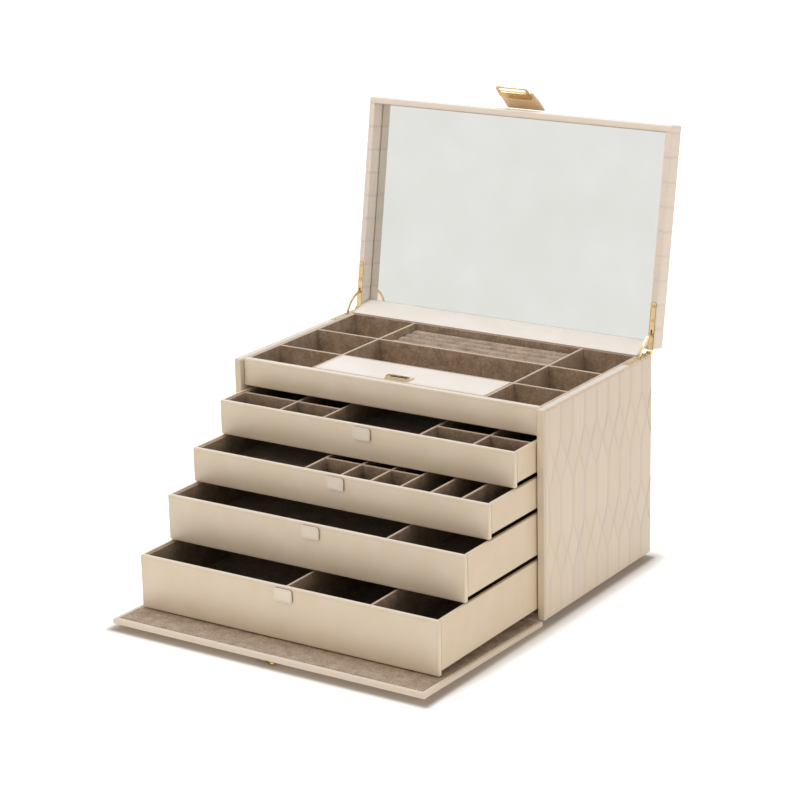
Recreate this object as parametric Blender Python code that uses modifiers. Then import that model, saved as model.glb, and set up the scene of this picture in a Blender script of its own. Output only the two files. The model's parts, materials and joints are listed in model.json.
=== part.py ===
# Tiered jewelry box with a mirrored lid, four drawers, a fold-down front flap and a divided top tray.
# Everything is in metres. X is to the right, -Y is the front and +Z is up.
# The origin is on the ground, at the centre of the plinth's underside.
# The box is modelled as it stands open: lid back against its stays, drawers stepped out, flap laid down.

import math

import bmesh
import bpy
from mathutils import Vector

# Case: two side panels, a back, a base and a plinth
case_width = 0.343
case_depth = 0.2064
panel_height = 0.2015
panel_thickness = 0.008
back_thickness = 0.008
panel_round = 0.0015
board_round = 0.0006
plinth_height = 0.006
plinth_inset = 0.012
base_thickness = 0.0046
base_setback = 0.002

# Clearances
touch_gap = 0.0003
fit_gap = 0.0004
slide_gap = 0.0009
cut_overrun = 0.002

# Fronts of the drawers, from the lowest up
front_heights = [0.0516, 0.0441, 0.0332, 0.0336]
front_pulls = [0.1664, 0.1220, 0.0811, 0.0363]
front_gap = 0.0010
front_bottom_gap = 0.0054
front_recess = 0.005
front_thickness = 0.0045
front_round = 0.0009
front_overhang = 0.0042

# Bodies of the drawers and the boards that they run on
drawer_wall = 0.003
drawer_bottom = 0.003
drawer_back_gap = 0.0012
runner_thickness = 0.0030
lining_thickness = 0.0012
lining_drop = 0.0014
divider_thickness = 0.0024
cell_dividers = [
    [-0.0009, 0.0893],
    [0.0772],
    [-0.0385, 0.0017, 0.0340, 0.0662, 0.0982, 0.1307],
    [-0.0973, -0.0480, 0.0583, 0.1151],
]
# Walls along X that part some cells in two: depth from the front board, and the cells they cross
cross_wall_depths = [0, 0, 0.0407, 0.0364]
crossed_cells = [[], [], [1, 2, 3], [0, 1, 3, 4]]

# Pull tabs on the drawer fronts
tab_width = 0.0196
tab_height = 0.0127
tab_thickness = 0.0015
tab_drop = 0.0014
tab_corner = 0.0026
tab_round = 0.0004

# Top tray
tray_front_height = 0.0269
tray_front_thickness = 0.006
tray_floor_thickness = 0.003
tray_floor_drop = 0.0006
tray_lining_floor = 0.0015
tray_wall = 0.0030
tray_back_wall = 0.0066
tray_drop = 0.0006
tray_divider = 0.0024
tray_column_left = -0.0880
tray_column_right = 0.1033
tray_front_row = 0.0620
tray_back_row = 0.1262

# Ring rolls in the tray's back cell
ring_roll_count = 5
ring_roll_height = 0.0182
ring_roll_base = 0.0110
ring_roll_slit = 0.0012

# Travel case in the tray's front cell
travel_gap = 0.0007
travel_wall = 0.0020
travel_lid_thickness = 0.0040
travel_drop = 0.0002
travel_round = 0.0008
travel_tab_width = 0.0262
travel_tab_depth = 0.0135
travel_tab_thickness = 0.0012
travel_tab_inset = 0.0010
travel_tab_offset = 0.0030
travel_tab_corner = 0.0016
travel_loop_width = 0.0245
travel_loop_depth = 0.0078
travel_loop_bar = 0.0009
travel_loop_thickness = 0.0009
travel_loop_inset = 0.0004
travel_loop_corner = 0.0016
travel_grip_length = 0.0200
travel_grip_width = 0.0018
travel_grip_inset = 0.0006
travel_grip_corner = 0.0004
travel_grip_depth = 0.0024

# Lid and mirror
lid_overhang = 0.0079
lid_thickness = 0.0197
lid_wall = 0.0070
lid_hinge_wall = 0.0030
lid_hinge_wall_drop = 0.0030
lid_board = 0.0032
lid_round = 0.0022
lid_open_angle = math.radians(99.6)
joint_gap = 0.0009
mirror_thickness = 0.0014
mirror_gap = 0.0008

# Gusset between the tray's back and the mirror
gusset_thickness = 0.0008
gusset_seat = 0.0003
gusset_mirror_overlap = 0.0026

# Quadrant hinges with their stays
pin_setback = 0.0019
pin_radius = 0.0008
pin_gap = 0.00010
pin_head_radius = 0.0012
pin_head_thickness = 0.0003
knuckle_radius = 0.0024
knuckle_gap = 0.0003
knuckle_width = 0.0018
leaf_width = 0.0050
leaf_length = 0.0480
leaf_thickness = 0.0015
leaf_gap = 0.0003
leaf_corner = 0.0018
stay_reach = 0.0180
stay_foot_reach = 0.0200
stay_depth = 0.0028
stay_radius = 0.0290
stay_width = 0.0026
stay_thickness = 0.0012
stay_head_radius = 0.0021
stay_tail = 0.0055
stay_turn_share = 0.55
stay_rivet_radius = 0.0007
stay_stop_radius = 0.0013
stay_stop_width = 0.0036
stay_gap = 0.0004
pocket_width = 0.0044
ear_thickness = 0.0008
screw_head_radius = 0.0014
screw_head_height = 0.0006
screw_proud = 0.00015
screw_gap = 0.0001
screw_slot_width = 0.0004
screw_slot_depth = 0.0003
screw_reaches = [0.0300, 0.0440]

# Strap and lock plate on the lid
strap_width = 0.0422
strap_tip_width = 0.0410
strap_thickness = 0.0018
strap_root_angle = math.radians(39.6)
strap_tip_angle = math.radians(51.6)
strap_arc_length = 0.0150
strap_flat_length = 0.0094
strap_corner = 0.0030
strap_stand_off = 0.0012
strap_lean = 0.0045
anchor_depth = 0.0150
anchor_thickness = 0.0016
anchor_gap = 0.0013
anchor_round = 0.0004
plate_width = 0.0370
plate_thickness = 0.0012
plate_overlap = 0.0086
plate_slot_width = 0.0300
plate_slot_depth = 0.0062
plate_slot_gap = 0.0004
plate_bar = 0.0022
plate_corner = 0.0036
plate_slot_corner = 0.0020
plate_round = 0.0003

# Front flap, its lining, and the turning knob on its outer face
flap_side_inset = 0.0016
flap_top_overlap = 0.0003
flap_thickness = 0.0055
flap_round = 0.0013
flap_border = 0.0044
flap_lining_thickness = 0.0010
flap_lining_proud = 0.0001
knob_inset = 0.0103
knob_turned = math.radians(30)
knob_base_width = 0.0230
knob_base_depth = 0.0105
knob_base_thickness = 0.0010
knob_post_radius = 0.0020
knob_width = 0.0200
knob_depth = 0.0052
knob_thickness = 0.0030
knob_height = 0.0050
knob_round = 0.0007
strip_reach = 0.0090
strip_thickness = 0.0005
strip_rise = 0.0036
strip_inset = 0.0060

# Smoothness of round shapes
round_sides = 24
small_sides = 16
corner_steps = 4
arc_steps = 14
sweep_steps = 40
smooth_angle = math.radians(35)

# Places worked out from the sizes
front = -case_depth / 2
back = case_depth / 2
inner_half = case_width / 2 - panel_thickness
panel_bottom = plinth_height
panel_top = panel_bottom + panel_height
back_face = back - back_thickness
fit_half = inner_half - touch_gap
front_half = inner_half - slide_gap
closed_face = front + front_recess
runner_front = closed_face + front_thickness + touch_gap
lid_length = case_depth + lid_overhang
flap_width = case_width - 2 * flap_side_inset
flap_length = panel_height + flap_top_overlap
knob_reach = flap_length - knob_inset
plate_depth = plate_overlap + plate_slot_gap + plate_slot_depth + plate_bar
pin_y = back + pin_setback
pin_z = panel_top + joint_gap / 2
hinge_x = case_width / 2 - panel_thickness / 2


def clear_scene():
    """Removes whatever the file opened with."""
    for thing in list(bpy.data.objects):
        bpy.data.objects.remove(thing, do_unlink=True)


def new_collection(name):
    group = bpy.data.collections.new(name)
    bpy.context.scene.collection.children.link(group)
    return group


def material(name, colour, roughness, metallic=0.0):
    """A plain Principled material. The colour is linear red, green, blue."""
    made = bpy.data.materials.new(name)
    made.use_nodes = True
    shader = made.node_tree.nodes["Principled BSDF"]
    shader.inputs["Base Color"].default_value = (*colour, 1.0)
    shader.inputs["Roughness"].default_value = roughness
    shader.inputs["Metallic"].default_value = metallic
    made.diffuse_color = (*colour, 1.0)
    return made


clear_scene()
parts = new_collection("tiered_jewelry_box")
cutters = new_collection("cutters")

embossed_leather = material("embossed_leather", (0.72, 0.62, 0.48), 0.5)
smooth_leather = material("smooth_leather", (0.70, 0.59, 0.45), 0.45)
suede = material("suede", (0.17, 0.12, 0.085), 0.95)
suede_edge = material("suede_edge", (0.45, 0.35, 0.28), 0.9)
brass = material("brass", (0.68, 0.45, 0.19), 0.28, 1.0)
mirror_glass = material("mirror_glass", (0.86, 0.88, 0.87), 0.02, 1.0)


# Helpers that make and finish shapes

def add_object(name, mesh, surface, parent=None, place=(0, 0, 0), group=None):
    made = bpy.data.objects.new(name, mesh)
    (group or parts).objects.link(made)
    if surface:
        mesh.materials.append(surface)
    made.parent = parent
    made.location = place
    return made


def empty(name, place, parent=None, turn=0.0):
    """An axis marker that moving pieces hang on. It turns about X."""
    made = bpy.data.objects.new(name, None)
    parts.objects.link(made)
    made.parent = parent
    made.location = place
    made.rotation_euler = (turn, 0, 0)
    return made


def box_mesh(name, size):
    bm = bmesh.new()
    bmesh.ops.create_cube(bm, size=1.0)
    bmesh.ops.scale(bm, vec=Vector(size), verts=bm.verts)
    mesh = bpy.data.meshes.new(name)
    bm.to_mesh(mesh)
    bm.free()
    return mesh


def box(name, low, high, surface, parent=None, group=None):
    """A box between two corners, with its origin at its centre."""
    low, high = Vector(low), Vector(high)
    mesh = box_mesh(name, high - low)
    return add_object(name, mesh, surface, parent, (low + high) / 2, group)


def cylinder(name, radius, length, place, surface, parent=None, group=None, sides=round_sides, axis="X"):
    bm = bmesh.new()
    bmesh.ops.create_cone(bm, cap_ends=True, segments=sides, radius1=radius, radius2=radius, depth=length)
    mesh = bpy.data.meshes.new(name)
    bm.to_mesh(mesh)
    bm.free()
    made = add_object(name, mesh, surface, parent, place, group)
    quarter = math.pi / 2
    made.rotation_euler = {"X": (0, quarter, 0), "Y": (quarter, 0, 0), "Z": (0, 0, 0)}[axis]
    return made


def bevel(target, width, segments=2):
    change = target.modifiers.new("rounded edges", "BEVEL")
    change.width = width
    change.segments = segments
    change.limit_method = "ANGLE"
    change.angle_limit = smooth_angle
    change.harden_normals = False
    return change


def hide_cutter(cutter):
    cutter.hide_render = True
    cutter.display_type = "WIRE"


def boolean(target, cutter, operation):
    change = target.modifiers.new(operation.lower(), "BOOLEAN")
    change.operation = operation
    change.solver = "EXACT"
    change.object = cutter
    hide_cutter(cutter)


def cut(target, *tools):
    for tool in tools:
        boolean(target, tool, "DIFFERENCE")


def join(target, *tools):
    for tool in tools:
        boolean(target, tool, "UNION")


def cut_box(target, low, high, parent=None):
    cut(target, box("cut_" + target.name, low, high, None, parent, cutters))


def smooth(target):
    target.data.shade_smooth()
    target.data.set_sharp_from_angle(angle=smooth_angle)


def rounded_outline(width, depth, corner, steps=corner_steps):
    """Points of a rectangle with round corners, counter-clockwise, about zero."""
    points = []
    for number, (sign_x, sign_y) in enumerate([(1, 1), (-1, 1), (-1, -1), (1, -1)]):
        centre_x = sign_x * (width / 2 - corner)
        centre_y = sign_y * (depth / 2 - corner)
        for step in range(steps + 1):
            angle = (number + step / steps) * math.pi / 2
            points.append((centre_x + corner * math.cos(angle), centre_y + corner * math.sin(angle)))
    return points


def plate_curve(name, outlines, thickness):
    """A flat curve filled on both sides. The first outline is the rim and the rest are holes."""
    curve = bpy.data.curves.new(name, "CURVE")
    curve.dimensions = "2D"
    curve.fill_mode = "BOTH"
    curve.extrude = thickness / 2
    curve.resolution_u = 1
    for outline in outlines:
        spline = curve.splines.new("POLY")
        spline.points.add(len(outline) - 1)
        for point, (x, y) in zip(spline.points, outline):
            point.co = (x, y, 0, 1)
        spline.use_cyclic_u = True
    return curve


def plate(name, outlines, thickness, surface, parent=None, place=(0, 0, 0), turn=(0, 0, 0), group=None):
    """A plate cut from a flat outline in its own XY plane, as a closed mesh."""
    drawn = bpy.data.objects.new(name + "_outline", plate_curve(name, outlines, thickness))
    cutters.objects.link(drawn)
    bpy.context.view_layer.update()
    mesh = bpy.data.meshes.new_from_object(drawn.evaluated_get(bpy.context.evaluated_depsgraph_get()))
    bpy.data.objects.remove(drawn, do_unlink=True)
    bm = bmesh.new()
    bm.from_mesh(mesh)
    bmesh.ops.remove_doubles(bm, verts=bm.verts, dist=touch_gap / 100)
    bmesh.ops.recalc_face_normals(bm, faces=bm.faces)
    bm.to_mesh(mesh)
    bm.free()
    mesh.materials.clear()
    made = add_object(name, mesh, surface, parent, place, group)
    made.rotation_euler = turn
    return made


def straight(number):
    return 0.0


def bent_sheet(name, path, width_at, surface, thickness, parent=None, place=(0, 0, 0), lean_at=straight):
    """A strip that follows a path of (y, z) points. width_at and lean_at give its width and middle there."""
    bm = bmesh.new()
    rows = []
    for number, (y, z) in enumerate(path):
        half = width_at(number) / 2
        middle = lean_at(number)
        rows.append([bm.verts.new((middle - half, y, z)), bm.verts.new((middle + half, y, z))])
    for low, high in zip(rows, rows[1:]):
        bm.faces.new((low[0], low[1], high[1], high[0]))
    mesh = bpy.data.meshes.new(name)
    bm.to_mesh(mesh)
    bm.free()
    made = add_object(name, mesh, surface, parent, place)
    wall = made.modifiers.new("wall", "SOLIDIFY")
    wall.thickness = thickness
    wall.offset = 0.0
    return made


def leaf_outline(gap, near):
    """A hinge leaf from above, or its seat with a gap round it. The far end has round corners."""
    half = leaf_width / 2 + gap
    corner = leaf_corner + gap
    corner_y = -leaf_length - gap + corner
    points = [(half, near), (-half, near)]
    for sign, first in ((-1, math.pi), (1, math.pi * 3 / 2)):
        for step in range(corner_steps + 1):
            angle = first + math.pi / 2 * step / corner_steps
            x = sign * (half - corner) + corner * math.cos(angle)
            points.append((x, corner_y + corner * math.sin(angle)))
    return points


def leaf_seat(target, near, low, high, place, parent=None):
    """Cuts the seat of a hinge leaf into what carries it, between two heights."""
    x, y = place
    seat = plate(
        "cut_leaf_seat_" + target.name,
        [leaf_outline(leaf_gap, near)],
        high - low,
        None,
        parent,
        (x, y, (low + high) / 2),
        group=cutters,
    )
    cut(target, seat)


# Case

def make_case():
    plinth = box(
        "base_plinth",
        (-case_width / 2 + plinth_inset, front + plinth_inset, 0),
        (case_width / 2 - plinth_inset, back - plinth_inset, plinth_height - touch_gap),
        suede,
    )
    bevel(plinth, board_round)
    base = box(
        "base_board",
        (-fit_half, front + base_setback, panel_bottom),
        (fit_half, back_face - touch_gap, panel_bottom + base_thickness),
        suede,
    )
    bevel(base, board_round)
    rear = box(
        "back_panel",
        (-fit_half, back_face, panel_bottom),
        (fit_half, back, panel_top),
        embossed_leather,
    )
    bevel(rear, panel_round)


def make_side_panel(name, side):
    """One side panel, with the hinge leaf's seat and the stay's pocket cut into its top."""
    outer = side * case_width / 2
    inner = side * inner_half
    panel = box(
        name,
        (min(outer, inner), front, panel_bottom),
        (max(outer, inner), back, panel_top),
        embossed_leather,
    )
    bevel(panel, panel_round, 3)
    centre = side * hinge_x
    seat_half = leaf_width / 2 + leaf_gap
    leaf_seat(
        panel,
        back + cut_overrun - pin_y,
        panel_top - leaf_thickness - leaf_gap,
        panel_top + cut_overrun,
        (centre, pin_y),
    )
    knuckle = cylinder(
        "cut_knuckle_" + name,
        knuckle_radius + knuckle_gap,
        2 * seat_half,
        (centre, pin_y, pin_z),
        None,
        group=cutters,
    )
    cut(panel, knuckle)
    low, high, depth = stay_sweep["pocket"]
    cut_box(
        panel,
        (centre - pocket_width / 2, pin_y - high, pin_z + depth),
        (centre + pocket_width / 2, pin_y - low, panel_top - leaf_thickness + leaf_gap),
    )


# Tray

def tray_levels():
    """Heights of the tray's front rail, floor and insert."""
    rail_bottom = panel_top - tray_front_height
    floor_top = rail_bottom + tray_floor_drop
    return rail_bottom, floor_top, floor_top + touch_gap


def tray_edges():
    """Front and back of the tray insert."""
    insert_front = closed_face + tray_front_thickness + touch_gap
    insert_back = back_face - touch_gap
    return insert_front, insert_back


def tray_cells():
    """The tray's nine cells by name, each as low and high X and Y."""
    insert_front, insert_back = tray_edges()
    half = tray_divider / 2
    columns = {
        "left": (-fit_half + tray_wall, tray_column_left - half),
        "middle": (tray_column_left + half, tray_column_right - half),
        "right": (tray_column_right + half, fit_half - tray_wall),
    }
    rows = {
        "front": (insert_front + lining_thickness, front + tray_front_row - half),
        "centre": (front + tray_front_row + half, front + tray_back_row - half),
        "back": (front + tray_back_row + half, insert_back - tray_back_wall),
    }
    return {
        column + "_" + row: (*columns[column], *rows[row])
        for column in columns
        for row in rows
    }


def make_tray():
    rail_bottom, floor_top, insert_bottom = tray_levels()
    insert_front, insert_back = tray_edges()
    rail = box(
        "tray_front",
        (-fit_half, closed_face, rail_bottom),
        (fit_half, closed_face + tray_front_thickness, panel_top),
        smooth_leather,
    )
    bevel(rail, front_round)
    floor = box(
        "tray_floor",
        (-fit_half, insert_front, floor_top - tray_floor_thickness),
        (fit_half, insert_back, floor_top),
        suede,
    )
    bevel(floor, board_round)
    insert = box(
        "tray_insert",
        (-fit_half, insert_front, insert_bottom),
        (fit_half, insert_back, panel_top - tray_drop),
        suede_edge,
    )
    cells = tray_cells()
    for low_x, high_x, low_y, high_y in cells.values():
        cut_box(
            insert,
            (low_x, low_y, insert_bottom + tray_lining_floor),
            (high_x, high_y, panel_top + cut_overrun),
        )
    return cells, insert_bottom + tray_lining_floor


def make_ring_rolls(cell, floor):
    """Soft rolls side by side, with a slit between each pair for the rings."""
    low_x, high_x, low_y, high_y = cell
    depth = high_y - low_y - 2 * fit_gap
    pitch = depth / ring_roll_count
    radius = (pitch - ring_roll_slit) / 2
    crown = ring_roll_height - radius
    outline = [(0, 0), (depth, 0)]
    for number in reversed(range(ring_roll_count)):
        middle = (number + 1 / 2) * pitch
        if number < ring_roll_count - 1:
            outline.append((middle + radius, ring_roll_base))
        for step in range(corner_steps * 2 + 1):
            angle = math.pi * step / (corner_steps * 2)
            outline.append((middle + radius * math.cos(angle), crown + radius * math.sin(angle)))
        if number > 0:
            outline.append((middle - radius, ring_roll_base))
    width = high_x - low_x - 2 * fit_gap
    quarter = math.pi / 2
    plate(
        "ring_roll_pad",
        [outline],
        width,
        suede,
        place=((low_x + high_x) / 2, low_y + fit_gap, floor + touch_gap),
        turn=(quarter, 0, quarter),
    )


# Travel case

def make_travel_case(cell, floor):
    low_x, high_x, low_y, high_y = cell
    low = Vector((low_x + travel_gap, low_y + travel_gap, floor + touch_gap))
    high = Vector((high_x - travel_gap, high_y - travel_gap, panel_top - travel_drop))
    lid_bottom = high.z - travel_lid_thickness
    centre_x = (low.x + high.x) / 2
    lift = empty("travel_case_lift", (centre_x, (low.y + high.y) / 2, low.z))
    tub = box(
        "travel_case_box",
        low - lift.location,
        Vector((high.x, high.y, lid_bottom - touch_gap)) - lift.location,
        smooth_leather,
        lift,
    )
    bevel(tub, travel_round)
    inner_low = Vector((low.x + travel_wall, low.y + travel_wall, low.z + travel_wall)) - lift.location
    inner_high = Vector((high.x - travel_wall, high.y - travel_wall, high.z + cut_overrun)) - lift.location
    cut_box(tub, inner_low, inner_high, lift)

    axis = empty("travel_lid_axis", Vector((centre_x, high.y, high.z)) - lift.location, lift)
    half = (high.x - low.x) / 2
    depth = high.y - low.y
    lid = box("travel_case_lid", (-half, -depth, -travel_lid_thickness), (half, 0, 0), smooth_leather, axis)
    bevel(lid, travel_round)
    open_width = travel_loop_width - 2 * travel_loop_bar
    open_depth = travel_loop_depth - 2 * travel_loop_bar
    tab_centre = -depth + travel_tab_inset + travel_tab_depth / 2
    loop_centre = -depth + travel_tab_inset + travel_loop_inset + travel_loop_depth / 2
    grip_centre = loop_centre + open_depth / 2 - travel_grip_inset - travel_grip_width / 2
    grip = rounded_outline(travel_grip_length, travel_grip_width, travel_grip_corner)
    grip_half = travel_grip_length / 2
    cut_box(
        lid,
        (-travel_tab_offset - grip_half, grip_centre - travel_grip_width / 2, -travel_grip_depth),
        (-travel_tab_offset + grip_half, grip_centre + travel_grip_width / 2, cut_overrun),
        axis,
    )
    plate(
        "travel_case_tab",
        [
            rounded_outline(travel_tab_width, travel_tab_depth, travel_tab_corner),
            [(x, y + grip_centre - tab_centre) for x, y in grip],
        ],
        travel_tab_thickness,
        smooth_leather,
        axis,
        (-travel_tab_offset, tab_centre, touch_gap + travel_tab_thickness / 2),
    )
    loop = plate(
        "travel_case_loop",
        [
            rounded_outline(travel_loop_width, travel_loop_depth, travel_loop_corner),
            rounded_outline(open_width, open_depth, travel_loop_corner - travel_loop_bar),
        ],
        travel_loop_thickness,
        brass,
        axis,
        (-travel_tab_offset, loop_centre, 2 * touch_gap + travel_tab_thickness + travel_loop_thickness / 2),
    )
    smooth(loop)


# Drawers

def front_levels():
    """Bottom and top of each drawer front, from the lowest up."""
    levels = []
    bottom = panel_bottom + front_bottom_gap
    for height in front_heights:
        levels.append((bottom, bottom + height))
        bottom += height + front_gap
    return levels


def drawer_cells(dividers):
    """Low and high X of each cell in a drawer, from its dividers' places."""
    edge = front_half - drawer_wall - touch_gap - lining_thickness
    faces = [place + side * divider_thickness / 2 for place in dividers for side in (-1, 1)]
    walls = [-edge] + faces + [edge]
    return list(zip(walls[::2], walls[1::2]))


def make_drawer(number, bottom, top, pull):
    name = "drawer_" + str(number)
    cross_depth = cross_wall_depths[number - 1]
    face = front - pull
    length = back_face - drawer_back_gap - closed_face
    slide = empty(name + "_slide", (0, face, bottom))
    height = top - bottom
    board = box(
        name + "_front",
        (-front_half, 0, 0),
        (front_half, front_thickness, height),
        smooth_leather,
        slide,
    )
    bevel(board, front_round)

    tray_front_y = front_thickness + touch_gap
    body = box(
        name + "_tray",
        (-front_half, tray_front_y, front_overhang),
        (front_half, length, height),
        smooth_leather,
        slide,
    )
    bevel(body, board_round, 1)
    cut_box(
        body,
        (-front_half + drawer_wall, tray_front_y - cut_overrun, front_overhang + drawer_bottom),
        (front_half - drawer_wall, length - drawer_wall, height + cut_overrun),
        slide,
    )

    lining_half = front_half - drawer_wall - touch_gap
    lining_low = front_overhang + drawer_bottom + touch_gap
    lining_back = length - drawer_wall - touch_gap
    lining = box(
        name + "_lining",
        (-lining_half, tray_front_y, lining_low),
        (lining_half, lining_back, height - lining_drop),
        suede,
        slide,
    )
    for cell, (low_x, high_x) in enumerate(drawer_cells(cell_dividers[number - 1])):
        ends = [tray_front_y + lining_thickness, lining_back - lining_thickness]
        if cell in crossed_cells[number - 1]:
            ends[1:1] = [cross_depth - divider_thickness / 2, cross_depth + divider_thickness / 2]
        for near_y, far_y in zip(ends[::2], ends[1::2]):
            cut_box(
                lining,
                (low_x, near_y, lining_low + lining_thickness),
                (high_x, far_y, height + cut_overrun),
                slide,
            )

    quarter = math.pi / 2
    tab = plate(
        name + "_tab",
        [rounded_outline(tab_width, tab_height, tab_corner)],
        tab_thickness,
        smooth_leather,
        slide,
        (0, -touch_gap - tab_thickness / 2, height - tab_drop - tab_height / 2),
        (quarter, 0, 0),
    )
    bevel(tab, tab_round, 1)


def make_runners(levels):
    """The boards under the upper drawers. The lowest drawer runs on a board over the base."""
    for number, (bottom, top) in enumerate(levels):
        runner = box(
            "drawer_runner_" + str(number + 1),
            (-fit_half, runner_front, bottom),
            (fit_half, back_face - touch_gap, bottom + runner_thickness),
            suede,
        )
        bevel(runner, board_round)


# Hinge and stay geometry in the side view, as (forward, up) from the hinge pin

def turned(point, angle):
    """The point turned about the pin, positive as the lid opens."""
    forward, up = point
    cosine, sine = math.cos(angle), math.sin(angle)
    return forward * cosine - up * sine, forward * sine + up * cosine


def stay_shape():
    """The open stay: its rivet, the centre of its curve, and the curve's first and last angle."""
    rivet = turned((stay_reach, joint_gap / 2 + stay_depth), lid_open_angle)
    foot = (stay_foot_reach, -joint_gap)
    across, down = foot[0] - rivet[0], foot[1] - rivet[1]
    chord = math.hypot(across, down)
    offset = math.sqrt(stay_radius**2 - (chord / 2) ** 2)
    centre = (
        (rivet[0] + foot[0]) / 2 + offset * down / chord,
        (rivet[1] + foot[1]) / 2 - offset * across / chord,
    )
    first = math.atan2(rivet[1] - centre[1], rivet[0] - centre[0])
    last = math.atan2(foot[1] - centre[1], foot[0] - centre[0]) - stay_tail / stay_radius
    return rivet, centre, first, last


def stay_outline(half, steps=arc_steps):
    """Points down one edge of the open stay and back up the other."""
    rivet, centre, first, last = stay_shape()
    edges = []
    for radius in (stay_radius + half, stay_radius - half):
        run = [first + (last - first) * step / steps for step in range(steps + 1)]
        edges.append([(centre[0] + radius * math.cos(a), centre[1] + radius * math.sin(a)) for a in run])
    return edges[0] + edges[1][::-1]


def sweep_of_stay():
    """How far the swinging stay reaches in the case's leaf, in the panel's pocket and in the lid's leaf."""
    rivet_closed = (stay_reach, joint_gap / 2 + stay_depth)
    rivet_open = turned(rivet_closed, lid_open_angle)
    outline = [(f - rivet_open[0], u - rivet_open[1]) for f, u in stay_outline(stay_width / 2, sweep_steps)]
    leaf_low = -joint_gap / 2 - leaf_thickness - leaf_gap
    case_slot, pocket, lid_slot, depths = [], [], [], []
    for step in range(sweep_steps + 1):
        lid_angle = lid_open_angle * step / sweep_steps
        rivet = turned(rivet_closed, lid_angle)
        swing = -(lid_open_angle - lid_angle) * stay_turn_share
        for point in outline:
            forward, up = turned(point, swing)
            forward += rivet[0]
            up += rivet[1]
            if leaf_low < up < 0:
                case_slot.append(forward)
            if up < leaf_low:
                pocket.append(forward)
                depths.append(up)
            in_lid = turned((forward, up), -lid_angle)
            if joint_gap / 2 < in_lid[1] < joint_gap / 2 + leaf_thickness + leaf_gap:
                lid_slot.append(in_lid[0])
    stop = stay_stop_radius + stay_gap
    return {
        "case_slot": (min(case_slot) - stay_gap, max(case_slot) + stay_gap),
        "lid_slot": (min(lid_slot) - stay_gap, max(lid_slot) + stay_gap),
        "pocket": (min(pocket) - stop, max(pocket) + stop, min(depths) - stop),
    }


stay_sweep = sweep_of_stay()


def leaf_parts(name, parent, face, direction, own_knuckles, other_knuckles):
    """A leaf beside its knuckles, about the pin. direction points from its open face into the wood."""
    leaf = plate(
        name,
        [leaf_outline(0.0, 0.0)],
        leaf_thickness,
        brass,
        parent,
        (0, 0, face + direction * leaf_thickness / 2),
    )
    for low, high in other_knuckles:
        clearance = cylinder(
            "cut_clear_" + name,
            knuckle_radius + knuckle_gap,
            high - low + 2 * knuckle_gap,
            ((low + high) / 2, 0, 0),
            None,
            parent,
            cutters,
        )
        cut(leaf, clearance)
    for low, high in own_knuckles:
        knuckle = cylinder(
            "join_knuckle_" + name,
            knuckle_radius,
            high - low,
            ((low + high) / 2, 0, 0),
            None,
            parent,
            cutters,
        )
        join(leaf, knuckle)
    bore = cylinder(
        "cut_bore_" + name,
        pin_radius + pin_gap,
        leaf_width + cut_overrun,
        (0, 0, 0),
        None,
        parent,
        cutters,
        small_sides,
    )
    cut(leaf, bore)
    return leaf


def knuckle_runs():
    """X ranges of the case leaf's middle knuckle and of the lid leaf's two outer ones."""
    half = knuckle_width / 2
    outer = leaf_width / 2
    case_run = [(-half, half)]
    lid_run = [(-outer, -half - knuckle_gap), (half + knuckle_gap, outer)]
    return case_run, lid_run


def make_screws(name, parent, leaf, face, direction):
    """Slotted screw heads let into one leaf, each in a seat cut for it."""
    for number, reach in enumerate(screw_reaches):
        middle = face + direction * (screw_head_height / 2 - screw_proud)
        seat = cylinder(
            "cut_seat_" + name,
            screw_head_radius + screw_gap,
            screw_head_height + 2 * screw_gap,
            (0, -reach, middle),
            None,
            parent,
            cutters,
            small_sides,
            "Z",
        )
        cut(leaf, seat)
        head = cylinder(
            name + "_" + str(number + 1),
            screw_head_radius,
            screw_head_height,
            (0, -reach, middle),
            brass,
            parent,
            sides=small_sides,
            axis="Z",
        )
        outer = middle - direction * screw_head_height / 2
        reach_half = screw_head_radius + screw_gap
        ends = sorted((outer + direction * screw_slot_depth, outer - direction * cut_overrun))
        cut_box(
            head,
            (-reach_half, -reach - screw_slot_width / 2, ends[0]),
            (reach_half, -reach + screw_slot_width / 2, ends[1]),
            parent,
        )


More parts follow.
